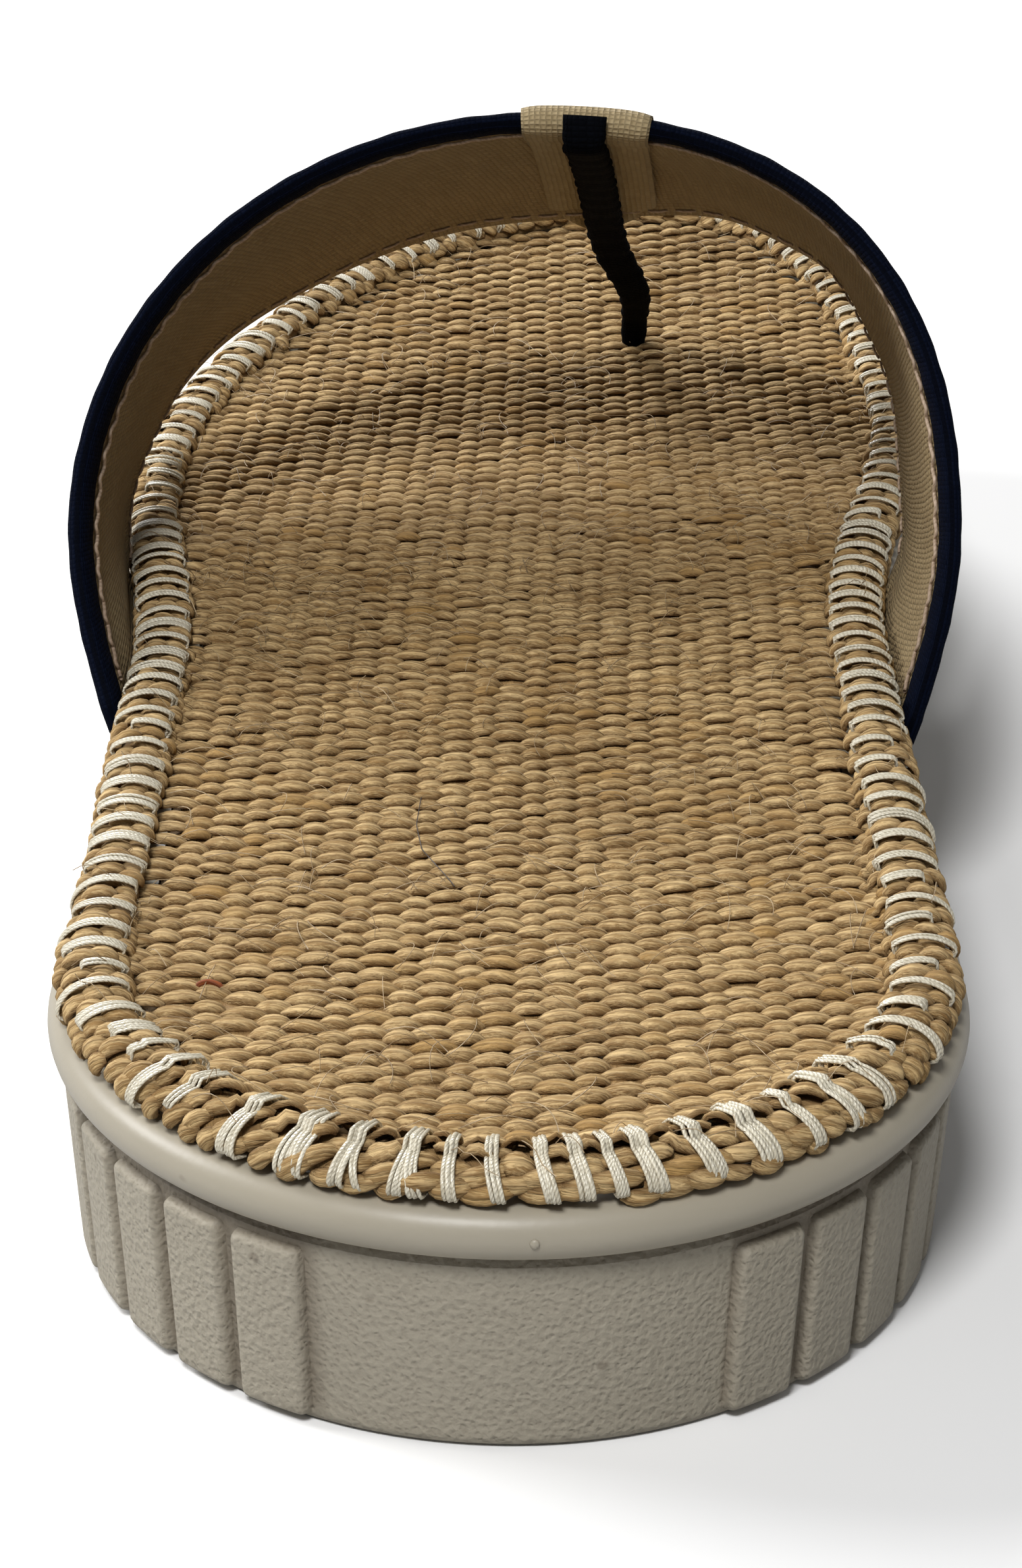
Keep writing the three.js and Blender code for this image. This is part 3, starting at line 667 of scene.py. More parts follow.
def rubber_material():
    """Pale rubber: smooth satin on the bead, fine leather-like stipple on wall, ribs and heel panel."""
    material, w, shader = new_material("pale_rubber", 0.5)
    place = w.node("ShaderNodeTexCoord").outputs["Object"]
    smooth = attribute(w, "smooth_skin")
    groove = attribute(w, "groove")
    wander = w.node("ShaderNodeTexNoise", {"Vector": place, "Scale": 1300.0, "Detail": 2.0})
    shift = w.node("ShaderNodeVectorMath", {0: wander.outputs["Color"], "Scale": 0.0005}, operation="SCALE")
    wandered = w.vector("ADD", place, shift.outputs[0])
    grain = w.node("ShaderNodeTexVoronoi", {"Vector": wandered, "Scale": 2200.0}, feature="SMOOTH_F1")
    stipple = w.noise(place, 2600.0, 2.0, 0.6)
    height = w.plus(w.times(grain.outputs["Distance"], 0.8), w.times(stipple, 0.35))
    rough_skin = w.math("SUBTRACT", 1.0, smooth)
    height = w.times(height, w.plus(w.times(rough_skin, 0.95), 0.05))
    patch = placed_group(w, soft_unevenness, Size_mm=31.0)
    colour = w.blend(patch.outputs["Mask"], rubber_pale, rubber_shade)
    # Darker in the grain's hollows, the rib grooves and the neck: painted shade with some dirt; the specks are
    # dirt
    hollows = w.spread(grain.outputs["Distance"], 0.15, 0.5, 0.16, 0.0)
    colour = w.blend(w.times(hollows, rough_skin), colour, rubber_dirt_and_shade)
    colour = w.blend(w.times(groove, 0.6), colour, rubber_dirt_and_shade)
    speck = w.spread(w.noise(place, 420.0, 1.0, 0.5), 0.74, 0.8)
    colour = w.blend(w.times(speck, 0.5), colour, rubber_dirt_and_shade)
    w.put(shader.inputs["Base Color"], colour)
    w.put(shader.inputs["Roughness"], w.spread(smooth, 0.0, 1.0, 0.62, 0.4))
    bump(w, shader, height, 0.2)
    return material


# Finishes
rubber_pale = (0.39, 0.352, 0.278)
rubber_shade = (0.35, 0.314, 0.244)
# The darkest rubber colour: dirt in the specks, painted shade with dirt in the grooves, neck and grain hollows
rubber_dirt_and_shade = (0.13, 0.10, 0.068)
pale_rubber = rubber_material()

jute_pale = (0.80, 0.575, 0.285)
jute_dark = (0.30, 0.175, 0.062)
# The darkest jute colour: painted shade in gaps and under floats, and soft darker patches
jute_shade_and_patch = (0.16, 0.088, 0.034)
jute_warm = (0.50, 0.30, 0.10)
footbed_yarn, rim_yarn = (
    yarn_material(name, jute_pale, jute_dark, jute_shade_and_patch, 0.07, 4.0, 0.16, 0.3, roughness=0.9, warm=jute_warm,
                  Specular_IOR_Level=0.2)
    for name in ("footbed_jute_yarn", "rim_jute_yarn"))
# The pad and the rim's core under the floats: the warps' brown, painted darker as the shade between the floats
shaded_under_yarn = yarn_material("footbed_under_yarn", (0.42, 0.26, 0.10), jute_dark, jute_shade_and_patch, 0.1, 1.0, 0.2, 0.2)
white_thread = yarn_material("whip_stitch_thread", (0.84, 0.79, 0.64), (0.60, 0.545, 0.41),
                             (0.27, 0.215, 0.14), 0.9, 3.0, 0.1, 0.055, roughness=0.28,
                             Specular_IOR_Level=0.8)
red_fibre = yarn_material("rust_red_fibre", (0.36, 0.09, 0.02), (0.2, 0.045, 0.012), (0.1, 0.03, 0.01),
                          0.1, 3.0, 0.2, 0.1)
dark_hair = yarn_material("dark_loose_hair", (0.05, 0.03, 0.02), (0.03, 0.02, 0.012), (0.02, 0.01, 0.01),
                          0.1, 1.0, 0.1, 0.02, roughness=0.5)
stray_fibre = yarn_material("stray_jute_fibre", (0.55, 0.42, 0.25), (0.3, 0.2, 0.1), (0.2, 0.13, 0.06),
                            0.1, 1.0, 0.2, 0.02, roughness=0.6)
tan_thread = yarn_material("tan_sewing_thread", (0.56, 0.43, 0.32), (0.40, 0.29, 0.20), (0.16, 0.1, 0.06),
                           0.6, 2.0, 0.1, 0.05, roughness=0.6)
upper_cloth = cloth_material("upper_cloth", (0.33, 0.245, 0.125), (0.245, 0.175, 0.082), 0.6, 0.95, 0.16)
navy_tape = cloth_material("navy_binding_tape", (0.0028, 0.005, 0.0145), (0.0012, 0.0024, 0.008), 0.5, 0.5,
                           0.1, roughness=0.95, Specular_IOR_Level=0.05)
tan_tape = cloth_material("tan_keeper_tape", (0.40, 0.31, 0.17), (0.30, 0.225, 0.115), 0.55, 0.45, 0.12)
dark_cord = cloth_material("dark_thong_cord", (0.0018, 0.0024, 0.0042), (0.0008, 0.001, 0.002), 0.5, 0.5,
                           0.1, roughness=0.95, Specular_IOR_Level=0.05)


# Outsole: ribbed wall, neck, bead, deck, seat and grooved underside
def wall_inset(rise):
    """How far the wall lies inside the bead, by the share of its height. Its lower edge is rounded."""
    levels = [0, 0.012, 0.05, 0.94, 0.98, 1.0]
    return base_inset * np.interp(rise, levels, [1.35, 1.12, 1.02, 0.66, 0.86, 0.88])


first_rib = panel_shift + panel_width / 2
last_rib = edge_run + panel_shift - panel_width / 2


def has_ribs(distance):
    return (distance > first_rib) & (distance < last_rib)


def rib_profile(distance, above_foot, below_head, pitch):
    """How far a place on the wall stands in its rib: 0 in the grooves, 1 on the rib's face."""
    edge_round, corner = 0.6, 0.8
    local = np.mod(distance - first_rib, pitch)
    side_gap = np.where(has_ribs(distance), (pitch - rib_gap) / 2 - np.abs(local - pitch / 2), -1)
    end_gap = np.minimum(above_foot, below_head)
    q_side, q_end = np.maximum(corner - side_gap, 0), np.maximum(corner - end_gap, 0)
    in_corner = (q_side > 0) & (q_end > 0)
    inside = np.where(in_corner, corner - np.hypot(q_side, q_end), np.minimum(side_gap, end_gap))
    share = np.clip(inside / edge_round, 0, 1)
    return np.sqrt(1 - (1 - share) ** 2)


def outsole_stations(pitch, count):
    """Distances round the sole, close together where the ribs' sides are."""
    offsets = np.array([0.0, 0.45, 0.58, 0.68, 0.85, 1.1, 1.4, 2.4])
    one = np.concatenate([offsets, [pitch / 2], pitch - offsets[:0:-1]])
    ribbed = (first_rib + pitch * np.arange(count)[:, None] + one[None]).ravel()
    panel = np.linspace(0, first_rib, 13)[:-1]
    other_panel = np.linspace(last_rib, edge_run, 13)[1:]
    stations = np.concatenate([panel, ribbed, other_panel])
    return np.unique(np.round(stations, 5))[:-1]


def build_outsole():
    """Wall with ribs, bead, deck and seat, then the underside with its grooves."""
    run = edge_run - panel_width
    count = round(run / rib_pitch)
    pitch = run / count
    distance = outsole_stations(pitch, count)
    if len(distance) % 2:
        distance = np.insert(distance, 1, distance[1] / 2)
    total = len(distance)
    rings, smooth, groove = [], [], []
    edge_y = edge_at(distance)[1]
    span = bead_top_at(edge_y) - 2 * bead_radius - ground_at(edge_y)
    low_rows = [0.0, 0.12, 0.3, 0.45, 0.56, 0.68, 0.85, 1.1, 1.5, 2.6]
    high_rows = [3.1, 2.5, 2.2, 2.0, 1.82, 1.66, 1.54, 1.4, 1.3, 0.9, 0.5, 0.25, 0.0]
    rows = [low + 0 * span for low in low_rows]
    rows += [mix(2.6, span - 3.3, share) for share in (0.2, 0.4, 0.6, 0.8)]
    rows += [span - high for high in high_rows]
    for height in rows:
        rise = height / span
        below_head = span + 2 * bead_radius - rib_head_drop - height
        profile = rib_profile(distance, height - rib_foot_rise, below_head, pitch)
        inset = wall_inset(rise) - rib_proud * profile
        rings.append(inset_points(distance, inset,
                                  lambda y: mix(ground_at(y), bead_top_at(y) - 2 * bead_radius, rise)))
        smooth.append(np.zeros(total))
        # Mask of painted shade with dirt: the grooves between the ribs and the neck under the bead, a third of
        # it on the heel panel's neck
        neck = 1 - smoothstep(-1.0, 0.1, below_head)
        dirt_and_shade = np.maximum((1 - profile) * smoothstep(0.2, 1.6, height), neck)
        groove.append(np.where(has_ribs(distance), dirt_and_shade, 0.35 * neck))
    for degrees in np.linspace(-78, 90, 16):
        angle = math.radians(degrees)
        inset = bead_radius * (1 - math.cos(angle))
        lift = bead_radius * (math.sin(angle) - 1)
        rings.append(inset_points(distance, inset, lambda y: bead_top_at(y) + lift))
        smooth.append(np.ones(total))
        # The bead's underside is marked too: painted shade under the bead, with dirt
        groove.append(np.full(total, 1.0 if degrees < -60 else 0.0))
    rings.append(inset_points(distance, recess_inset, bead_top_at))
    rings.append(inset_points(distance, recess_inset, lambda y: bead_top_at(y) - recess_depth))
    smooth += [np.ones(total), np.ones(total)]
    groove += [np.zeros(total), np.zeros(total)]
    points = np.array(rings)
    faces = grid_faces(len(rings), total, wrap_columns=True).tolist()
    flat = points.reshape(-1, 3)
    right = np.arange(total // 2 + 1)
    left = (total - right) % total
    top = (len(rings) - 1) * total
    faces += strip_faces(top + left, top + right)
    # Underside: a margin strip on each side and a middle strip that takes the grooves
    margin = np.minimum(tread_margin - base_inset, 0.3 * (flat[right, 0] - flat[left, 0]))[:, None]
    shift = np.concatenate([margin, 0 * margin, 0 * margin], axis=1)
    inner = np.concatenate([flat[right] - shift, flat[left] + shift])
    flat = np.concatenate([flat, inner])
    inner_right = top + total + right
    inner_left = inner_right + len(right)
    faces += (strip_faces(right, inner_right) + strip_faces(inner_right, inner_left)
              + strip_faces(inner_left, left))
    pad = np.zeros(len(inner))
    piece = make_piece("sole", flat, without_repeats(faces), pale_rubber, "outsole",
                       smooth_skin=np.concatenate([np.array(smooth).ravel(), pad]),
                       groove=np.concatenate([np.array(groove).ravel(), pad]))
    cut_tread(piece)
    piece.data.set_sharp_from_angle(angle=math.radians(38))


def build_nub():
    """The small moulding nub on the bead at the heel."""
    place = inset_points(np.array([2.4]), np.array([0.0]), lambda y: bead_top_at(y) - bead_radius)[0]
    turn = np.linspace(0, 2 * math.pi, 12, endpoint=False)[None]
    rise = np.linspace(-0.5, 0.5, 9)[:, None] * math.pi
    ball = places(np.cos(rise) * np.cos(turn), 0.6 * np.cos(rise) * np.sin(turn), np.sin(rise))
    flat = (place + 0.36 * ball).reshape(-1, 3)
    faces = without_repeats(grid_faces(9, 12, wrap_columns=True).tolist())
    make_piece("bead_nub", flat, faces, pale_rubber, "outsole", smooth_skin=np.ones(len(flat)),
               groove=np.zeros(len(flat)))


def cut_tread(piece):
    """Cuts the cross grooves into the middle strip of the underside."""
    bm = bmesh.new()
    bm.from_mesh(piece.data)
    bmesh.ops.remove_doubles(bm, verts=bm.verts, dist=1e-6)
    bmesh.ops.recalc_face_normals(bm, faces=bm.faces)
    shift_x, shift_y = sole_shift[:2]
    grooves = []
    for low, high in ((0.06, 0.26), (0.53, 0.86)):
        grooves += list(np.arange(low * sole_length, high * sole_length, tread_pitch))

    def place_of(face):
        centre = face.calc_center_median() * 1000
        return centre.x - shift_x, centre.y - shift_y

    def middle_faces(centre, reach):
        """Faces of the underside's middle strip whose middle lies near a crosswise line."""
        margin = tread_margin + 0.2
        found = []
        for face in bm.faces:
            x, y = place_of(face)
            if face.normal.z > -0.8 or abs(y - centre) >= reach:
                continue
            if -half_width(lateral, y) + margin < x < half_width(medial, y) - margin:
                found.append(face)
        return found

    for y in grooves:
        for edge in (y - tread_width / 2, y + tread_width / 2):
            near = middle_faces(edge, 4)
            geometry = list({e for f in near for e in f.edges} | {v for f in near for v in f.verts}) + near
            bmesh.ops.bisect_plane(bm, geom=geometry, plane_co=(0, (edge + shift_y) * 0.001, 0),
                                   plane_no=(0, 1, 0))
    chosen = [face for y in grooves for face in middle_faces(y, tread_width / 2)]
    made = bmesh.ops.extrude_face_region(bm, geom=chosen)
    moved = [v for v in made["geom"] if isinstance(v, bmesh.types.BMVert)]
    bmesh.ops.translate(bm, verts=moved, vec=(0, 0, tread_depth * 0.001))
    bm.to_mesh(piece.data)
    bm.free()


# Mat: floats of weft yarn over the warps, in wide and narrow columns by turns, half a pitch apart
column_pair = 4.78
wide_column = 2.73
first_column = -17.0
pick_pitch = 2.585
float_arc = (-30, 210)  # the part of a float's round that is made, in degrees
upward = np.array([0, 0, 1.0])


def mat_picks():
    """Places of all floats on the unrolled mat: x, y, column width and pick number, as four rows."""
    floats = []
    picks = np.arange(-3, int(sole_length / pick_pitch) + 5)
    for pair in range(-8, 15):
        start = first_column + column_pair * pair
        middle, end = start + wide_column, start + column_pair
        for x0, x1, shift in ((start, middle, 0.0), (middle, end, 0.5)):
            y = (picks + shift) * pick_pitch
            floats.append(np.stack([0 * y + (x0 + x1) / 2, y, 0 * y + x1 - x0, picks + shift]))
    x, y, wide, pick = np.concatenate(floats, axis=1)
    # Picks wander a little, and bend forward beside the big-toe side of the heel
    bend = 2.4 * smoothstep(16, 36, x) * (1 - smoothstep(60, 110, y))
    y = y + bend + 0.45 * np.sin(x / 9.0 + y / 31.0) + 0.3 * np.sin(x / 4.1 - y / 17.0 + 1.3)
    x = x + 0.35 * np.sin(y / 23.0 + x / 13.0)
    return np.stack([x, y, wide, pick])


def yarn_floats(name, picks, chunky, rolled, material, node):
    """Lens-shaped arched floats on the mat's skin.

    chunky is 1 for the loose yarns on the heel's outer face."""
    x, y, wide, pick = picks
    count = len(x)
    stations, sides_count = 7, 7
    jitter = chance.normal(0, 1, (9, count))
    x = x + 0.10 * jitter[0]
    y = y + 0.11 * jitter[1]
    half = wide / 2 * 1.30 * (1 + 0.05 * jitter[2]) * (1 + 0.25 * chunky)
    thick = 1.02 * (1 + 0.10 * jitter[3]) * (1 - 0.25 * chunky)
    high = 0.42 * (1 + 0.12 * jitter[4]) * (1 + 0.5 * chunky)
    lift = (0.08 + 0.12 * chunky) * jitter[5]
    tilt = 0.10 + 0.08 * jitter[6] + 0.18 * chunky
    half, high, lift, tilt = (value[:, None] for value in (half, high, lift, tilt))
    share = np.linspace(-1, 1, stations)
    bow = np.cos(share * math.pi / 2) ** 0.7
    px = x[:, None] + half * share
    py = y[:, None] + tilt * half * np.sin(share * math.pi / 2)
    away = lift - 0.42 * (1 - bow) - high
    paths = level_point(px, py, away)
    up = np.zeros_like(paths) + upward
    paths[rolled] = mat_point(px[rolled], py[rolled], away[rolled])
    up[rolled] = unit(mat_point(px[rolled], py[rolled], away[rolled] + 1.0) - paths[rolled])
    points, faces, place = tubes(paths, thick[:, None] * (0.45 + 0.55 * bow), high * (0.7 + 0.3 * bow), up,
                                 sides_count, arc=float_arc)

    def per_point(values):
        return np.broadcast_to(values[:, None, None], (count, stations, sides_count)).ravel()

    pick_tone = chance.uniform(0, 1, 300)[(pick * 2).astype(int) % 300]
    tone = np.clip(0.5 + 0.30 * (pick_tone - 0.5) + 0.20 * jitter[7] + 0.1 * np.sin(x / 11 + y / 19), 0, 1)
    warmth = np.clip(0.38 + 0.24 * jitter[8] + 0.2 * np.sin(y / 13 + x / 7), 0, 1)
    turn = np.radians(np.linspace(*float_arc, sides_count))
    # Painted shade on each float's underside and toward its tapered ends, where it dips under its neighbours
    depth = 0.8 * (1 - np.sin(turn)) - 0.1
    depth = np.clip(depth + 0.6 * (1 - bow)[:, None] ** 1.5, 0, 1)
    make_piece(name, points, faces, material, node, yarn_place=place, yarn_tone=per_point(tone),
               yarn_warmth=per_point(warmth), yarn_depth=np.tile(depth.ravel(), count))


def build_mat():
    """Floats over the footbed, and floats rolled over the rim."""
    picks = mat_picks()
    distance, inset = edge_near(picks[0], picks[1])
    behind = heel_share(picks[1]) > 0.5
    on_footbed = inset > np.where(behind, recess_inset - 0.3, recess_inset - 1.2)
    chosen = picks[:, on_footbed]
    yarn_floats("footbed_weave", chosen, 0 * chosen[0], behind[on_footbed], footbed_yarn, "footbed")
    degrees = roll_start - (recess_inset - inset) * roll_degrees
    on_rim = ~(on_footbed & behind) & (degrees < np.where(behind, 200, 172)) & (degrees > -26)
    chunky = heel_share(edge_at(distance[on_rim])[1]) * (1 - smoothstep(40, 75, degrees[on_rim]))
    yarn_floats("rim_weave", picks[:, on_rim], chunky, np.ones(len(chunky), bool), rim_yarn, "rim")


def build_footbed_base():
    """The pad below the floats: closed, with the warps as low ridges on top."""
    pairs, columns = 150, 56
    total = 2 * pairs
    distance = edge_run * np.arange(total) / total
    low = inset_points(distance, footbed_inset, lambda y: bead_top_at(y) - recess_depth + clearance)
    side = inset_points(distance, footbed_inset, lambda y: bead_top_at(y) + footbed_rise - 1.2)
    right = np.arange(pairs + 1)
    left = (total - right) % total
    share = np.arange(1, columns)[None, :, None] / columns
    inner = mix(side[right][:, None], side[left][:, None], share)
    x, y = inner[..., 0], inner[..., 1]
    ridge = 0.25 * np.abs(np.sin((x - first_column) * 2 * math.pi / column_pair))
    inner[..., 2] = weave_top_at(x, y, edge_near(x, y)[1]) - 0.85 + ridge
    inner_numbers = 2 * total + np.arange(inner[..., 0].size).reshape(pairs + 1, columns - 1)
    top = np.concatenate([total + right[:, None], inner_numbers, total + left[:, None]], axis=1)
    faces = grid_faces(2, total, wrap_columns=True).tolist() + strip_faces(right, left)
    for near, far in zip(top, top[1:]):
        faces += strip_faces(near, far)
    flat = np.concatenate([low, side, inner.reshape(-1, 3)])
    zero = np.zeros(len(flat))
    make_piece("footbed_pad", flat, without_repeats(faces), shaded_under_yarn, "footbed",
               yarn_place=places(flat[:, 1], flat[:, 0] % 3 - 1.5, zero), yarn_tone=zero + 0.3,
               yarn_depth=zero)


# Rim: the mat's rolled edge over a core, whip-stitched
side_stitch_pitch = 4.4
upper_stitch_pitch = 3.7  # beside the upper
heel_stitches = [
    # distance from the heel's middle, and each strand's shift at its upper and lower end
    (-21.5, [(-0.7, -0.5), (0.0, 0.1), (0.5, 1.0)]),
    (-16.3, [(-0.45, -0.4), (0.15, 0.2), (0.6, 1.2), (1.6, 1.5)]),
    (-11.6, [(-0.5, -0.9), (0.05, -0.2), (0.45, 1.6)]),
    (-7.2, [(-0.4, -0.8), (0.1, -0.1), (0.4, 1.2), (0.6, 1.7)]),
    (-3.9, [(-0.3, 0.2), (0.25, 0.8)]),
    (-0.7, [(-0.4, 0.5), (0.15, 0.95)]),
    (3.4, [(-0.7, 0.2), (-0.1, 0.75)]),
    (5.9, [(-0.4, 0.15), (0.2, 0.7)]),
    (8.4, [(-0.3, 0.2), (0.2, 0.75)]),
    (11.3, [(-0.9, -0.4), (-0.3, 0.2), (0.2, 0.8)]),
    (15.9, [(-0.8, -0.3), (-0.2, 0.3), (0.4, 0.9)]),
    (20.6, [(-0.8, -0.5), (-0.1, 0.3), (0.5, 0.7)]),
    (25.3, [(-0.6, -0.2), (0.1, 0.4)]),
    (29.6, [(-0.6, -0.3), (0.0, 0.3), (0.5, 0.8)]),
]
vamp_from = sole_length - vamp_setback
vamp_to = vamp_from + vamp_side_length


def stitch_plan():
    """Every whip stitch: distance, strands, and the angle round the rim where it goes under the yarns."""
    plan = [(d, strands, -34.0) for d, strands in heel_stitches]
    distance = heel_stitches[-1][0] + side_stitch_pitch
    end = edge_run + heel_stitches[0][0] - 3.5
    while distance < end:
        y = edge_at(distance)[1]
        beside_upper = vamp_from - 6 < y < vamp_to + 8
        lean = chance.normal(0, 0.3)
        strands = [(-0.3, -0.3 + lean), (0.3, 0.3 + lean)]
        if chance.uniform() < 0.3:
            strands.append((0.9, 0.85 + lean * 1.3))
        jig = chance.normal(0, 0.1, (len(strands), 2))
        # Every other stitch or so is covered early by a yarn on the outer side
        outer = 8.0 if beside_upper else chance.choice([62.0, 20.0, -30.0])
        plan.append((distance, [(a + j, b + k) for (a, b), (j, k) in zip(strands, jig)], outer))
        pitch = upper_stitch_pitch if beside_upper else side_stitch_pitch
        distance += pitch * (1 + 0.08 * chance.normal())
    return plan


plan = stitch_plan()
stitch_distances = np.array([d for d, _, _ in plan])


def pinch_at(distance):
    """How much a stitch draws the rim in at a place: 1 under a stitch, 0 between stitches."""
    gap = np.abs(np.mod(distance[..., None] - stitch_distances + edge_run / 2, edge_run) - edge_run / 2)
    return np.exp(-(gap.min(-1) / 1.1) ** 2)


def build_rim_core():
    """A plain ring under the rolled yarns."""
    distance = toe_distance + edge_run * np.arange(360) / 360
    degrees = np.linspace(-25, 205, 14)
    points = rim_point(distance[:, None], degrees[None], -1.1)
    faces = grid_faces(360, 14, wrap_rows=True, wrap_columns=True)
    turn = np.radians(degrees)
    place = places(distance[:, None], 1.5 * np.cos(turn), 1.5 * np.sin(turn)).reshape(-1, 3)
    zero = np.zeros(len(place))
    make_piece("rim_core", points, faces, shaded_under_yarn, "rim", yarn_place=place, yarn_tone=zero + 0.2,
               yarn_depth=zero)


def build_whip_stitches():
    """Off-white threads over the rim. Each strand is a pair of fine threads side by side."""
    stations = 19
    thread_radius = 0.18
    reach_back = 2.3  # how far the heel's stitches run on over the mat
    paths, ups, radii = [], [], []
    share = np.linspace(0, 1, stations)
    for distance, strands, outer in plan:
        heel = float(heel_share(float(edge_at(distance)[1])))
        inner = mix(150.0, 104.0, heel) + chance.normal(0, 2.5)
        fine = [(0.8 * upper + beside, 0.85 * lower + beside) for upper, lower in strands
                for beside in (-0.16, 0.16)]
        for upper, lower in fine:
            round_share = np.clip((share - 0.2 * heel) / (1 - 0.2 * heel), 0, 1)
            degrees = mix(inner + chance.normal(0, 3), outer, round_share)
            spots = distance + mix(upper, lower, smoothstep(0.3, 1.0, share)) + 0.04 * chance.normal()
            away = 0.03 + 0.05 * chance.normal() - 1.1 * (1 - smoothstep(0, 0.1, share))
            away = away - 0.9 * smoothstep(0.86, 1.0, share)
            path = rim_point(spots, degrees, away)
            inward = unit((rim_point(spots, 180.0, 0.0) - rim_point(spots, 0.0, 0.0)) * [1, 1, 0])
            back = reach_back * heel * (1 - smoothstep(0.0, 0.24, share)) * (1 + 0.2 * chance.normal())
            path = path + inward * back[:, None] - np.array([0, 0, 0.2]) * back[:, None]
            paths.append(path)
            ups.append(unit(rim_point(spots, degrees, away + 1) - rim_point(spots, degrees, away)))
            radii.append(thread_radius * (1 + 0.1 * chance.normal()) + 0 * share)
    thread_piece("whip_stitches", np.array(paths), np.array(radii), np.array(ups), white_thread, "rim",
                 sides_count=5)


def thread_piece(name, paths, radii, ups, material, node, sides_count=6, flat=0.7):
    """Many threads as one piece, with painted shade toward their ends."""
    cords, stations = paths.shape[:2]
    points, faces, place = tubes(paths, radii, radii * flat, ups, sides_count=sides_count)
    tone = np.repeat(chance.uniform(0, 1, cords), stations * sides_count)
    end = np.abs(np.linspace(-1, 1, stations))
    depth = np.repeat(np.tile(0.5 * smoothstep(0.8, 1.0, end), cords), sides_count)
    make_piece(name, points, faces, material, node, yarn_place=place, yarn_tone=tone, yarn_depth=depth)


def smooth_curve(points, count):
    """A Catmull-Rom curve through points, evenly spaced by length."""
    points = np.asarray(points, float)
    ends = np.concatenate([[2 * points[0] - points[1]], points, [2 * points[-1] - points[-2]]])
    knots = np.concatenate([[0], np.cumsum(np.sqrt(np.linalg.norm(np.diff(ends, axis=0), axis=-1)))])
    found = []
    for k in range(1, len(ends) - 2):
        t0, t1, t2, t3 = knots[k - 1:k + 3]
        t = np.linspace(t1, t2, 20, endpoint=False)[:, None]
        p0, p1, p2, p3 = ends[k - 1:k + 3]
        a1 = (t1 - t) / (t1 - t0) * p0 + (t - t0) / (t1 - t0) * p1
        a2 = (t2 - t) / (t2 - t1) * p1 + (t - t1) / (t2 - t1) * p2
        a3 = (t3 - t) / (t3 - t2) * p2 + (t - t2) / (t3 - t2) * p3
        b1 = (t2 - t) / (t2 - t0) * a1 + (t - t0) / (t2 - t0) * a2
        b2 = (t3 - t) / (t3 - t1) * a2 + (t - t1) / (t3 - t1) * a3
        found.append((t2 - t) / (t2 - t1) * b1 + (t - t1) / (t2 - t1) * b2)
    chain = np.concatenate(found + [points[-1:]])
    run = run_along(chain)
    even = np.linspace(0, run[-1], count)
    return np.stack([np.interp(even, run, chain[:, k]) for k in range(3)], axis=-1), even


def lying_fibre(name, spots, lift, radius, material):
    """One loose fibre on the weave, through plan places of the sole's frame."""
    ends = np.array(spots)
    share = np.linspace(0, len(ends) - 1, 24)
    x, y = (np.interp(share, range(len(ends)), values) for values in ends.T)
    top = mat_point(x, y, 0.1 + 0 * x)[..., 2] + lift * np.sin(np.linspace(0, math.pi, 24)) ** 0.5
    path, _ = smooth_curve(places(x, y, top), 24)
    ups = np.zeros((1, 24, 3)) + upward
    thread_piece(name, path[None], np.full((1, 24), radius), ups, material, "footbed", sides_count=5, flat=1.0)


def build_stray_fibres():
    """Short fibres that stand off the weave, and two longer loose ones."""
    count, stations = 900, 8
    y = chance.uniform(4, 250, count)
    x = chance.uniform(-40, 46, count)
    keep = edge_near(x, y)[1] > 1.5
    x, y = x[keep], y[keep]
    count = len(x)
    heading = chance.uniform(0, 2 * math.pi, count)
    bend = chance.normal(0, 0.35, count)
    length = chance.uniform(2.0, 8.0, count)
    share = np.linspace(0, 1, stations)
    turned = heading[:, None] + bend[:, None] * share * 3
    step = (length / (stations - 1))[:, None]
    px = x[:, None] + np.cumsum(np.cos(turned) * step, axis=1)
    py = np.clip(y[:, None] + np.cumsum(np.sin(turned) * step, axis=1), 1, sole_length - 1)
    around = edge_near(px, py)[1]
    top = mat_point(px, py, 0.1 + 0 * px)[..., 2]
    lift = chance.uniform(0.1, 1.1, count)[:, None] * np.sin(share * math.pi) + 0.05
    paths = places(px, py, top + lift)[around.min(1) > 0.4]
    radii = np.repeat(chance.uniform(0.03, 0.05, len(paths))[:, None], stations, 1)
    thread_piece("stray_fibres", paths, radii, np.zeros_like(paths) + upward, stray_fibre, "footbed",
                 sides_count=3, flat=1.0)
    lying_fibre("red_fibre", [(-24.1, 34.1), (-23.3, 34.4), (-22.3, 34.2)], 0.3, 0.22, red_fibre)
    lying_fibre("dark_hair", [(-8.8, 74.9), (-8.9, 68.0), (-8.2, 62.7), (-5.2, 55.7)], 0.3, 0.05, dark_hair)


# Upper
def shell_faces(rows, columns):
    """Faces of a closed shell from two like grids of points, the inside one first."""
    size = rows * columns
    near = grid_faces(rows, columns)
    faces = near.tolist() + (near[:, ::-1] + size).tolist()
    grid = np.arange(size).reshape(rows, columns)
    around = [*grid[0], *grid[1:, -1], *grid[-1, -2::-1], *grid[-2:0:-1, 0]]
    for a, b in zip(around, around[1:] + around[:1]):
        faces.append([b, a, a + size, b + size])
    return faces


def cloth_wave(u, distance):
    """Soft unevenness of the upper, in millimetres."""
    free = smoothstep(binding_width - 1, binding_width + 5, distance)
    return free * (0.3 * np.sin(u * 19 + distance * 0.11) * np.sin(distance * 0.16 + u * 7)
                   + 0.22 * np.sin(u * 41 - distance * 0.07 + 1.0))


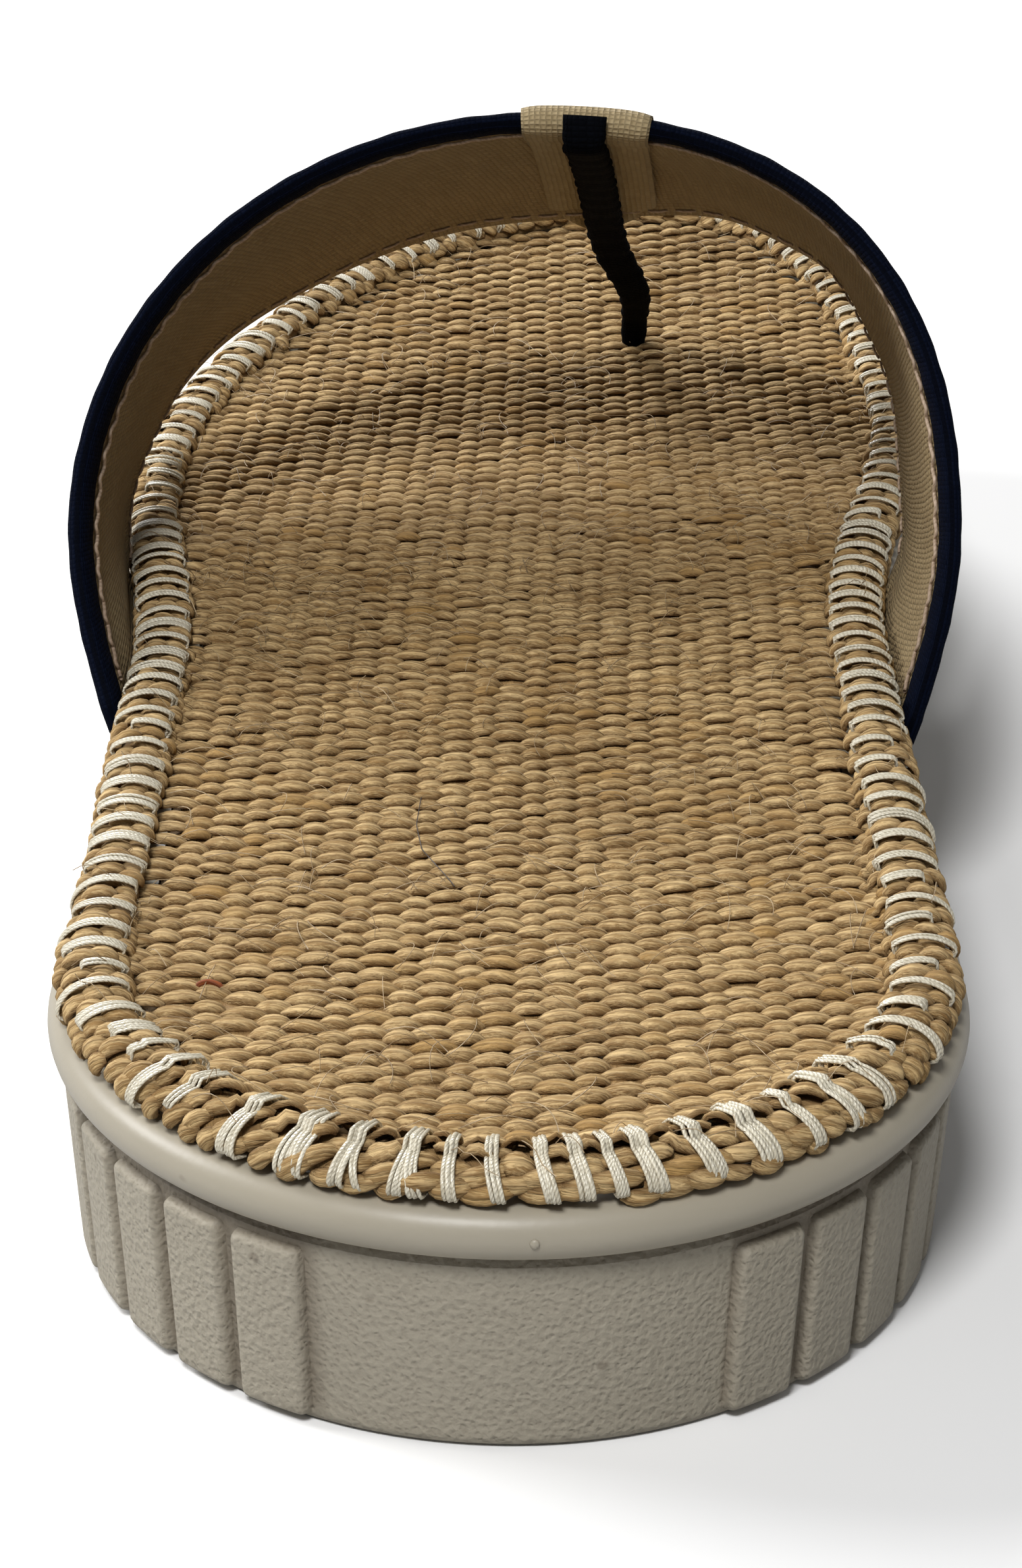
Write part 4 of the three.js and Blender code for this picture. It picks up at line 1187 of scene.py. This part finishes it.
def vamp_wave(u, distance):
    """The same, fading toward the upper's feet."""
    return cloth_wave(u, distance) * np.sin(u * math.pi) ** 0.3


def tucked(points, below, sign):
    """Carries places of the upper's foot down beside the rim, to the bead."""
    slide = sign * [-0.7, 0.0, 0.0] + [0.0, 0.0, -2.2]
    return points + below[..., None] * slide


def shares_with_feet(count, tucks):
    """Shares from 0 to 1 over the upper, and from -1 and up to 2 where its feet are tucked in."""
    return np.concatenate([np.linspace(-1, 0, tucks, endpoint=False), np.linspace(0, 1, count),
                           np.linspace(1, 2, tucks + 1)[1:]])[:, None]


def build_vamp():
    """The upper's cloth with a folded hem at the front."""
    rows = 40
    share = shares_with_feet(150, 3) + np.zeros((1, rows))
    u = np.clip(share, 0, 1)
    below = np.abs(share - u)
    sign = np.sign(share[..., None] - 0.5)
    run = arch_run(u)
    distance = mix(1.2, run, np.linspace(0, 1, rows)[None])
    to_front = run - distance
    hem = 0.25 * (1 - smoothstep(5.4, 6.2, to_front))
    end_round = np.sqrt(np.clip(1 - (1 - np.clip(to_front / 0.9, 0, 1)) ** 2, 0, 1))
    wave = vamp_wave(u, distance)
    middle = vamp_wall / 2
    half = (middle + hem) * (0.25 + 0.75 * end_round)
    inside = tucked(vamp_point(u, distance, middle - half + wave), below, sign)
    outside = tucked(vamp_point(u, distance, middle + half + wave), below, sign)
    place = places(run_along(inside), distance, 0)
    faces = shell_faces(*share.shape)
    make_piece("vamp_cloth", np.concatenate([inside, outside]), faces, upper_cloth, "vamp",
               cloth_place=np.concatenate([place, place + [0, 0, 9]]).reshape(-1, 3))


def bar_piece(name, sections, material, node, place):
    """A bar through stations x points sections, closed at both ends."""
    stations, count = sections.shape[:2]
    faces = grid_faces(stations, count, wrap_columns=True).tolist()
    faces.append(list(range(count))[::-1])
    faces.append([(stations - 1) * count + k for k in range(count)])
    make_piece(name, sections, faces, material, node, cloth_place=place.reshape(-1, 3))


def build_binding():
    """Navy tape round the collar edge: a flattened oval with slight puckers."""
    share = shares_with_feet(260, 4)
    u = np.clip(share, 0, 1)
    turn = np.linspace(0, 2 * math.pi, 22, endpoint=False)[None]
    reach = binding_width / 2
    thick = vamp_wall / 2 + binding_proud
    edge = vamp_point(u[:, 0], 0 * u[:, 0], 0 * u[:, 0])
    girth = run_along(edge)[:, None]
    pucker = 1 + 0.03 * np.sin(girth * 2 * math.pi / 6.1) + 0.025 * np.sin(girth * 2 * math.pi / 3.7 + 1)
    distance = reach - reach * rounded(np.cos(turn), 0.8)
    depth = vamp_wall / 2 + thick * rounded(np.sin(turn), 0.62) * pucker
    sections = vamp_point(u + 0 * turn, distance + 0 * u, depth)
    sections = tucked(sections, np.abs(share - u) + 0 * turn, np.sign(share - 0.5)[..., None])
    bar_piece("navy_binding", sections[:, ::-1], navy_tape, "collar_binding",
              places(girth, turn * 2.2, 0)[:, ::-1])


def build_binding_stitches():
    """Wavy sewing thread along both edges of the binding."""
    stations = 900
    u = np.linspace(0.004, 0.996, stations)
    edge = vamp_point(u, 0 * u, 0 * u)
    swing = np.sin(run_along(edge) * 2 * math.pi / 2.7)
    distance = binding_width + 0.25 + 0.55 * swing
    rise = 0.25 * (1 - smoothstep(-0.2, 0.8, swing)) * binding_proud
    wave = cloth_wave(u, distance) * 0.8
    paths = np.array([vamp_point(u, distance, depth + sign * rise + wave)
                      for depth, sign in ((-0.25, -1), (vamp_wall + 0.25, 1))])
    ups = np.repeat(arch_normal(u, 0 * u)[None], 2, 0)
    radii = np.full(paths.shape[:2], 0.26)
    thread_piece("binding_stitches", paths, radii, ups, tan_thread, "collar_binding")


def build_hem_stitches():
    """Running stitches on both faces of the folded front edge."""
    length, gap, hem_depth = 2.2, 0.9, 4.4
    paths, ups = [], []
    u_all = np.linspace(0.02, 0.98, 1500)
    girth = run_along(vamp_point(u_all, arch_run(u_all) - hem_depth, 0 * u_all))
    start = 0.0
    while start + length < girth[-1]:
        u = np.interp(np.linspace(start, start + length, 7), girth, u_all)
        hump = np.sin(np.linspace(0, math.pi, 7)) ** 0.6
        distance = arch_run(u) - hem_depth
        wave = vamp_wave(u, distance)
        for depth in (-0.32 - 0.12 * hump, vamp_wall + 0.32 + 0.12 * hump):
            paths.append(vamp_point(u, distance, depth + wave))
            ups.append(arch_normal(u, 0 * u + 0.9))
        start += length + gap
    paths = np.array(paths)
    thread_piece("hem_stitches", paths, np.full(paths.shape[:2], 0.2), np.array(ups), tan_thread, "vamp")


# Keeper and thong. The tape lies flat on the binding.
tape_thickness = 0.6
over_vamp = 0.4
over_binding = binding_proud + 0.4
clear_of_binding = binding_width + keeper_ease


def fold_point(degrees, away):
    """Distance and depth round the fold over the collar, by the angle and how far outside the binding."""
    fold_middle = binding_width * 0.2
    angle = math.radians(degrees)
    return (fold_middle - (fold_middle + away) * math.cos(angle),
            vamp_wall / 2 + (vamp_wall / 2 + binding_proud + away) * math.sin(angle))


def keeper_path():
    """Distance from the collar edge, depth and half width along the keeper, finely spaced."""
    half = keeper_width / 2
    clear = clear_of_binding
    path = [(keeper_outer_reach, vamp_wall + over_vamp, half), (clear, vamp_wall + over_vamp, half),
            (binding_width, vamp_wall + over_binding, half)]
    for degrees in range(90, -91, -15):
        path.append((*fold_point(degrees, over_binding - binding_proud), half))
    path += [(binding_width, -over_binding, half), (clear, -over_vamp, half)]
    taper = crown_run - keeper_width / 2
    for share in np.linspace(0.15, 1, 8):
        path.append((mix(clear, taper, share), -over_vamp, half * 0.96))
    path.append((crown_run, -over_vamp, half * 0.62))
    path.append((crown_run + keeper_tip_reach, -over_vamp, thong_top_width / 2))
    path = np.array(path)
    run = np.concatenate([[0], np.cumsum(np.hypot(*np.diff(path[:, :2], axis=0).T))])
    fine = np.linspace(0, run[-1], 110)
    dense = np.stack([np.interp(fine, run, path[:, k]) for k in range(3)], axis=-1)
    for _ in range(3):
        dense[1:-1] = 0.25 * dense[:-2] + 0.5 * dense[1:-1] + 0.25 * dense[2:]
    return dense, fine


def build_keeper():
    """Tan tape folded over the collar, gathered under the front edge."""
    path, run = keeper_path()
    step = unit(np.gradient(path[:, :2], axis=0))
    across = np.concatenate([np.linspace(-1, 1, 17), np.linspace(1, -1, 17)])
    side = np.concatenate([np.ones(17), -np.ones(17)])
    thin = tape_thickness / 2 * np.clip(1 - np.abs(across) ** 8, 0.15, 1)
    gather = smoothstep(crown_run - 9, crown_run + 2, path[:, 0]) * (path[:, 1] < 0)
    fold = 0.28 * gather[:, None] * np.sin(across * 9)[None]
    offset = side * thin + fold
    distance = path[:, 0:1] - step[:, 1:2] * offset
    depth = path[:, 1:2] + step[:, 0:1] * offset
    width = across[None] * path[:, 2:3]
    sections = crown_point(distance, width, depth)
    bar_piece("tan_keeper", sections[:, ::-1], tan_tape, "keeper", places(width, run[:, None], 0)[:, ::-1])


def thong_points():
    """The thong's way: round the keeper's fold, down the keeper, and bowed to its foot in the footbed."""
    on_tape = tape_thickness / 2 + 0.05 + thong_thickness / 2
    top_depth = over_binding + on_tape
    marks = [fold_point(mix(thong_top_angle, -90, k / 5), top_depth - binding_proud) for k in range(5)]
    marks += [(binding_width * 0.6, -top_depth), (binding_width, -top_depth)]
    marks += [(d, -over_vamp - on_tape) for d in np.linspace(clear_of_binding, crown_run * 0.88, 8)]
    points = [crown_point(np.array(distance), np.array(0.0), np.array(depth)) for distance, depth in marks]
    leave = points[-1]
    foot_y = sole_length - thong_setback
    foot_z = float(footbed_top_at(thong_foot_shift, foot_y + thong_thickness / 2)) - 0.8
    foot = np.array([thong_foot_shift, foot_y, foot_z])
    bow = ((0.3, 0.36, 0.29), (0.96, 0.66, 0.6), (1.02, 0.94, 0.86), (1, 1, 1))
    return points + [mix(leave, foot, np.array(share)) for share in bow]


def build_thong():
    """The dark cord, slightly crumpled."""
    stations, count = 150, 20
    chain, run = smooth_curve(thong_points(), stations)
    share = np.linspace(0, 1, stations)
    tangent = unit(np.gradient(chain, axis=0))
    tangent[-1] = (0, 0, -1)
    across = unit(np.array([1.0, 0, 0]) - tangent * tangent[:, :1])
    up = unit(np.cross(tangent, across))
    turn = np.linspace(0, 2 * math.pi, count, endpoint=False)
    crumple = 1 + 0.05 * np.sin(run * 2 * math.pi / 4.3) + 0.04 * np.sin(run * 2 * math.pi / 2.6 + 2)
    wide = mix(thong_top_width, thong_foot_width, smoothstep(0.72, 0.98, share)) / 2 * crumple
    high = thong_thickness / 2 * (1 - 0.06 * np.sin(run * 2 * math.pi / 5.2))
    high = high * mix(0.3, 1.0, smoothstep(0.0, 0.05, share))
    oval_x, oval_y = rounded(np.cos(turn), 0.75), rounded(np.sin(turn), 0.75)
    sections = (chain[:, None] + across[:, None] * (wide[:, None] * oval_x)[..., None]
                + up[:, None] * (high[:, None] * oval_y)[..., None])
    bar_piece("dark_thong", sections, dark_cord, "thong", places(turn * 1.7, run[:, None], 0))


# The order of the pieces sets the random draws
build_outsole()
build_nub()
build_footbed_base()
build_mat()
build_rim_core()
build_whip_stitches()
build_stray_fibres()
build_vamp()
build_binding()
build_binding_stitches()
build_hem_stitches()
build_keeper()
build_thong()


# Camera, floor and light
def add_camera():
    level = math.cos(camera_pitch)
    ahead = Vector((math.sin(camera_yaw) * level, math.cos(camera_yaw) * level, -math.sin(camera_pitch)))
    right = ahead.cross(Vector((0, 0, 1))).normalized()
    up = right.cross(ahead)
    rolled_right = math.cos(camera_roll) * right + math.sin(camera_roll) * up
    rolled_up = -math.sin(camera_roll) * right + math.cos(camera_roll) * up
    data = bpy.data.cameras.new("camera")
    data.sensor_fit = "VERTICAL"
    data.sensor_height = sensor_height
    data.lens = focal_pixels / photo_height * sensor_height
    data.clip_start = 0.01
    camera = bpy.data.objects.new("camera", data)
    turn = Matrix((rolled_right, rolled_up, -ahead)).transposed().to_4x4()
    camera.matrix_world = Matrix.Translation(camera_place) @ turn
    bpy.context.scene.collection.objects.link(camera)
    bpy.context.scene.camera = camera


def add_floor():
    half = 4.0
    corners = [(-half, -half, 0), (half, -half, 0), (half, half, 0), (-half, half, 0)]
    mesh = bpy.data.meshes.new("floor")
    mesh.from_pydata(corners, [], [(0, 1, 2, 3)])
    material, w, shader = new_material("white_floor", 0.8, Specular_IOR_Level=0.1)
    # Paler to the camera than to the light that it throws back on the sandal
    seen = w.node("ShaderNodeLightPath").outputs["Is Camera Ray"]
    w.put(shader.inputs["Base Color"], w.blend(seen, (0.5, 0.5, 0.5), (0.95, 0.95, 0.95)))
    mesh.materials.append(material)
    floor = bpy.data.objects.new("floor", mesh)
    bpy.context.scene.collection.objects.link(floor)


def add_softbox(name, place, aim, size, power):
    data = bpy.data.lights.new(name, "AREA")
    data.shape = "DISK"
    data.size = size
    data.energy = power
    light = bpy.data.objects.new(name, data)
    light.location = place
    light.rotation_euler = (Vector(aim) - Vector(place)).to_track_quat("-Z", "Y").to_euler()
    bpy.context.scene.collection.objects.link(light)


def add_world(strength):
    world = bpy.data.worlds.new("studio")
    world.use_nodes = True
    world.node_tree.nodes["Background"].inputs["Color"].default_value = (1, 1, 1, 1)
    world.node_tree.nodes["Background"].inputs["Strength"].default_value = strength
    bpy.context.scene.world = world


add_camera()
add_floor()
add_softbox("key", (-0.12, -0.55, 0.65), (0, -0.02, 0.02), 0.24, 4.7)
add_softbox("left", (-0.9, 0.2, 0.6), (0, 0, 0.02), 0.45, 8.0)
add_softbox("far", (-0.3, 0.9, 0.6), (0, 0, 0.02), 0.45, 9.5)
add_world(0.17)
bpy.context.scene.view_settings.view_transform = "Standard"
